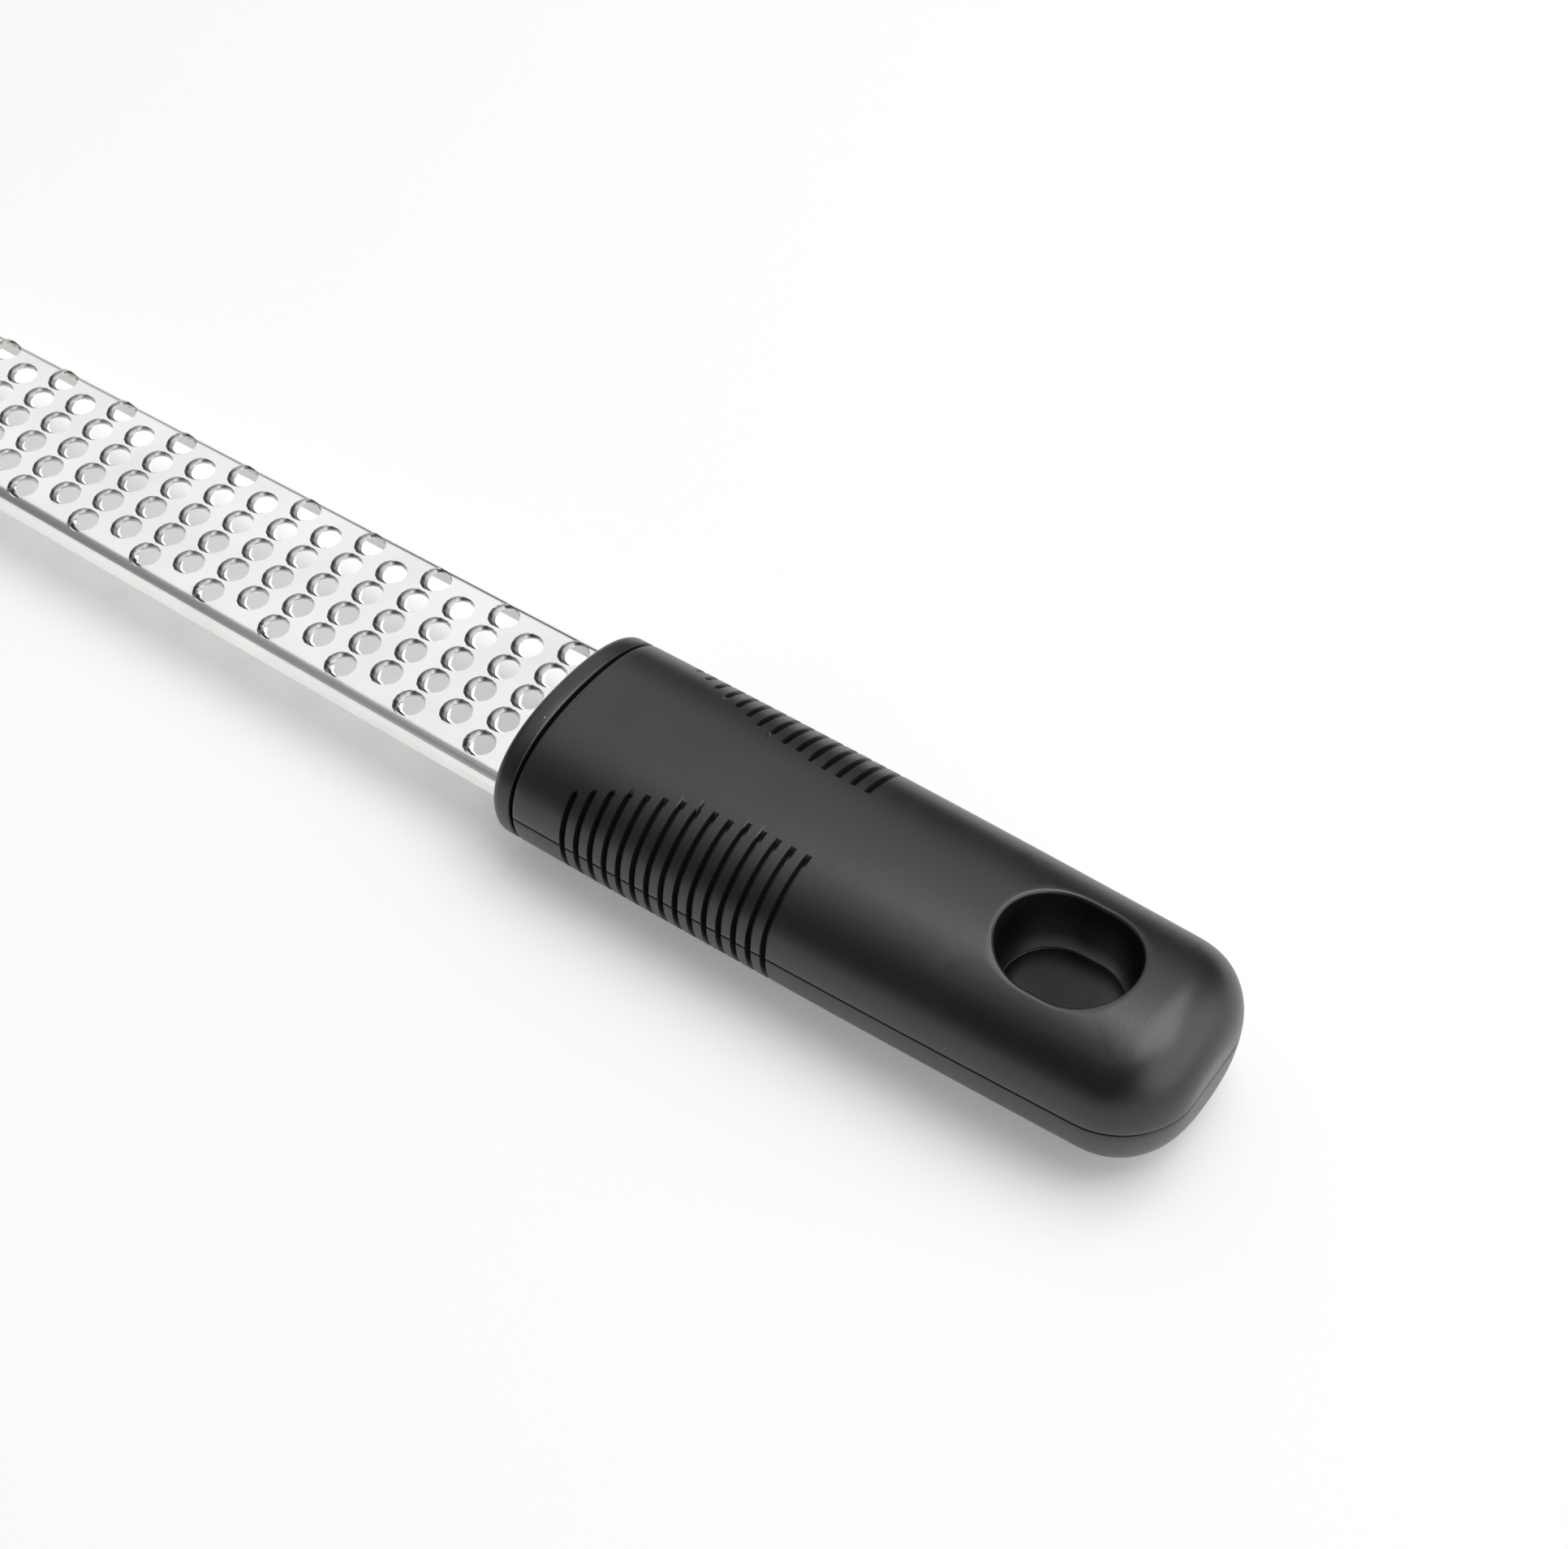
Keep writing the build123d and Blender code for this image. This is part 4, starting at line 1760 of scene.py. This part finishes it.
@dataclass
class FrontCollar:
    """The ring at the handle's mouth, with the slot that the blade enters."""

    material: bpy.types.Material
    blade: GraterBlade
    form: HandleForm = field(default_factory=HandleForm)
    front_round: float = 1.6
    front_steps: int = 10
    back_round: float = 0.3
    back_steps: int = 3
    flank_steps: int = 32
    slot_clearance: float = 0.12
    slot_lead: float = 2.0
    slot_run: float = 0.6
    slot_bend_steps: int = 8
    neck_lap: float = 0.4
    neck_gap: float = 0.02

    def section(self, x: float, inset: float) -> list[Point]:
        """Works out one section of the ring.

        Args:
            x: Its place.
            inset: How far it is drawn in.

        Returns:
            Its closed outline.
        """
        u = np.linspace(0, 1, self.flank_steps + 1)
        place = np.array([x])
        width = float(self.form.half_width(place)[0]) - inset
        outline = []
        for half, hands in ((Half.UPPER, (1, -1)), (Half.LOWER, (-1, 1))):
            reach = float(self.form.reach(place, half)[0]) - inset
            for hand in hands:
                steps = u if hand == hands[0] else u[::-1]
                for share in steps[:-1]:
                    y = hand * width * float(self.form.across(share, half))
                    z = float(self.form.seam(x)) + half.value * reach * float(self.form.upward(share, half))
                    outline.append((x, y, max(z, 0.0)))
        return outline

    def slot_cutter(self) -> bpy.types.Object:
        """Makes a bar with the blade's folded section, grown by its clearance.

        Returns:
            The bar.
        """
        blade, turns = self.blade, quarter_turn(self.slot_bend_steps)
        outside = blade.fold_radius + self.slot_clearance
        inside = blade.fold_radius - blade.sheet - self.slot_clearance
        foot = -blade.rail_depth - self.slot_clearance
        rings = []
        for x in (LAYOUT.handle_front - self.slot_lead, LAYOUT.strip_end + self.slot_run):
            bend = float(blade.half_width(x)) - blade.fold_radius
            outer, inner = (
                [(bend + reach * math.sin(a), reach * math.cos(a) - blade.fold_radius) for a in turns]
                for reach in (outside, inside)
            )
            outer = [*outer, (bend + outside, foot)]
            inner = [(bend + inside, foot), *reversed(inner)]
            ring = [*outer, *inner]
            ring += [(-y, z) for part in (inner, outer) for y, z in reversed(part)]
            rings.append([(x, y, LAYOUT.blade_level + z) for y, z in ring])
        return closed_stack("slot_cutter", rings)

    def build(self) -> bpy.types.Object:
        """Makes the collar.

        Returns:
            The finished piece.
        """
        stations = rolled_edge(LAYOUT.handle_front, 1, self.front_round, quarter_turn(self.front_steps))
        stations += rolled_edge(LAYOUT.ring_back, -1, self.back_round, quarter_turn(self.back_steps)[::-1])
        thing = closed_stack("collar", [self.section(x, inset) for x, inset in stations])
        cut_away(thing, self.slot_cutter())
        start, stop = LAYOUT.ring_back - self.neck_lap, LAYOUT.core_front - self.neck_gap
        neck = rounded_bar("neck", start, stop, CORE_SECTION)
        shape = bmesh.new()
        shape.from_mesh(thing.data)
        shape.from_mesh(neck.data)
        drop(neck)
        shape.to_mesh(thing.data)
        shape.free()
        shade_moulded(thing.data)
        return finish_piece(thing, self.material, "soft_grip", "front_collar")


def aim(azimuth: float, elevation: float) -> Vector:
    """Returns the direction with an azimuth, counted from +X towards +Y, and an elevation."""
    turn, rise = math.radians(azimuth), math.radians(elevation)
    return Vector((math.cos(turn) * math.cos(rise), math.sin(turn) * math.cos(rise), math.sin(rise)))


@dataclass(frozen=True)
class SkyPatch:
    """A soft round patch of the studio's sky that is brighter or darker than the rest."""

    azimuth: float
    elevation: float
    inner: float
    outer: float
    strength: float

    def weight(self, world: ShaderSheet, strength: float) -> bpy.types.NodeSocket:
        """Adds the patch to the world's tree.

        Args:
            world: The sheet on that tree.
            strength: The value inside the patch.

        Returns:
            A socket that has the strength inside the patch and fades to 0 round it.
        """
        near = world.nodes.new("ShaderNodeVectorMath")
        near.operation = "DOT_PRODUCT"
        world.links.new(world.place, near.inputs[0])
        near.inputs[1].default_value = aim(self.azimuth, self.elevation)
        rims = (math.cos(math.radians(self.outer)), math.cos(math.radians(self.inner)))
        return world.math("MULTIPLY", world.span(near.outputs["Value"], rims, smooth=True), strength)


@dataclass(frozen=True)
class SoftLamp:
    """A square lamp that looks at the handle from a direction and a distance."""

    name: str
    azimuth: float
    elevation: float
    distance: float
    size: float
    power: float
    target: Point = (0.06, 0.0, 0.01)

    def add(self) -> None:
        """Adds the lamp to the scene."""
        data = bpy.data.lights.new(self.name, "AREA")
        data.shape = "SQUARE"
        data.size = self.size
        data.energy = self.power
        lamp = bpy.data.objects.new(self.name, data)
        lamp.location = self.distance * aim(self.azimuth, self.elevation)
        lamp.rotation_euler = (Vector(self.target) - lamp.location).to_track_quat("-Z", "Y").to_euler()
        bpy.context.scene.collection.objects.link(lamp)


@dataclass(frozen=True)
class Studio:
    """Floor, light and the camera at the photograph's angle."""

    azimuth: float = 35.452
    elevation: float = 48.932
    eye: Point = (0.22491, -0.19364, 0.30109)
    focal_share: float = 3187.17 / 1932
    sensor: float = 36.0
    clip: tuple[float, float] = (0.01, 20.0)
    floor_half: float = 3.0
    floor_level: float = -0.00002
    floor_colour: Point = (0.80, 0.795, 0.785)
    floor_roughness: float = 0.9
    floor_glow: float = 0.26
    sky_glow: float = 0.55
    horizon: float = 0.42
    bright_patches: tuple[SkyPatch, SkyPatch] = (
        SkyPatch(135.0, 56.0, 24.0, 44.0, 0.55),
        SkyPatch(12.0, 26.0, 20.0, 50.0, 1.6),
    )
    dim_patches: tuple[SkyPatch, ...] = (
        SkyPatch(-82.0, 35.0, 21.0, 41.0, 0.86),
        SkyPatch(95.0, 8.0, 14.0, 38.0, 0.85),
        SkyPatch(-160.0, 12.0, 18.0, 44.0, 0.55),
    )
    lamp: SoftLamp = SoftLamp("back_softbox", 42.0, 70.0, 1.2, 0.95, 9.0)

    def add_camera(self) -> None:
        """Adds the camera and makes it the scene's."""
        data = bpy.data.cameras.new("camera")
        data.sensor_width = self.sensor
        data.lens = self.sensor * self.focal_share
        data.clip_start, data.clip_end = self.clip
        camera = bpy.data.objects.new("camera", data)
        camera.location = self.eye
        back = aim(self.azimuth - 90.0, self.elevation)
        camera.rotation_euler = (-back).to_track_quat("-Z", "Y").to_euler()
        bpy.context.scene.collection.objects.link(camera)
        bpy.context.scene.camera = camera

    def floor_material(self) -> bpy.types.Material:
        """Makes the pale matt floor, which glows a little where it is seen or mirrored.

        Returns:
            The new material.
        """
        sheet = ShaderSheet("floor_white")
        sheet.fix(
            Base_Color=(*self.floor_colour, 1.0), Roughness=self.floor_roughness, Specular_IOR_Level=0.0
        )
        glow = sheet.nodes.new("ShaderNodeEmission")
        total = sheet.nodes.new("ShaderNodeAddShader")
        strength = sheet.math("MULTIPLY", sheet.seen_directly(), self.floor_glow)
        sheet.links.new(strength, glow.inputs["Strength"])
        sheet.links.new(sheet.shader.outputs[0], total.inputs[0])
        sheet.links.new(glow.outputs[0], total.inputs[1])
        sheet.links.new(total.outputs[0], sheet.nodes["Material Output"].inputs["Surface"])
        return sheet.material

    def add_floor(self) -> None:
        """Adds the floor, which shows white and keeps the tool's shadow."""
        half, level = self.floor_half, self.floor_level
        corners = [(-half, -half, level), (half, -half, level), (half, half, level), (-half, half, level)]
        thing = object_from("floor", mesh_from("floor", corners, [(0, 1, 2, 3)]))
        thing.data.materials.append(self.floor_material())

    def add_world(self) -> None:
        """Adds the studio round the tool: bright above and on the right, with dim parts elsewhere."""
        world = bpy.data.worlds.new("studio")
        bpy.context.scene.world = world
        world.use_nodes = True
        sheet = ShaderSheet.for_world(world)
        first, second = (patch.weight(sheet, patch.strength) for patch in self.bright_patches)
        light = sheet.math("ADD", sheet.math("ADD", first, second), self.horizon)
        for patch in self.dim_patches:
            left = sheet.math("ADD", patch.weight(sheet, -patch.strength), 1.0)
            light = sheet.math("MULTIPLY", light, left)
        direct = sheet.math("MULTIPLY", sheet.seen_directly(), 1.0 - self.sky_glow)
        share = sheet.math("ADD", direct, self.sky_glow)
        shown = sheet.nodes.new("ShaderNodeMix")
        shown.data_type = "FLOAT"
        sheet.links.new(sheet.ray("Is Camera Ray"), shown.inputs[0])
        sheet.links.new(sheet.math("MULTIPLY", light, share), shown.inputs[2])
        shown.inputs[3].default_value = 1.0
        background = sheet.nodes["Background"]
        background.inputs["Color"].default_value = (1, 1, 1, 1)
        sheet.links.new(shown.outputs[0], background.inputs["Strength"])

    def build(self) -> None:
        """Adds everything that surrounds the tool."""
        self.add_camera()
        self.add_floor()
        self.add_world()
        self.lamp.add()
        bpy.context.scene.view_settings.view_transform = "Standard"


def refinish(frame: dict, node: str, material: bpy.types.Material) -> None:
    """Gives a CAD node that stays its better material.

    Args:
        frame: The loaded frame.
        node: Name of the node.
        material: Its finish.
    """
    thing = frame["nodes"][node]
    if not thing.material_slots:
        thing.data.materials.append(material)
    for slot in thing.material_slots:
        slot.material = material
    LOG.info("%s: refinished", node)


def main() -> None:
    """Builds the sub-assemblies in order."""
    logging.basicConfig(level=logging.INFO, format="%(name)s: %(message)s")
    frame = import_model()
    steel, rubber = PolishedSteel().make(), SoftGrip().make()
    blade = GraterBlade(steel)
    blade.build()
    FrontCollar(rubber, blade).build()
    GripShell(Half.UPPER, rubber).build()
    GripShell(Half.LOWER, rubber).build()
    core, pin = CORE_PLASTIC.make(), PIN_STEEL.make()
    refinish(frame, "core_upper", core)
    refinish(frame, "core_lower", core)
    refinish(frame, "tang_pins", pin)
    Studio().build()


if __name__ == "__main__":
    main()
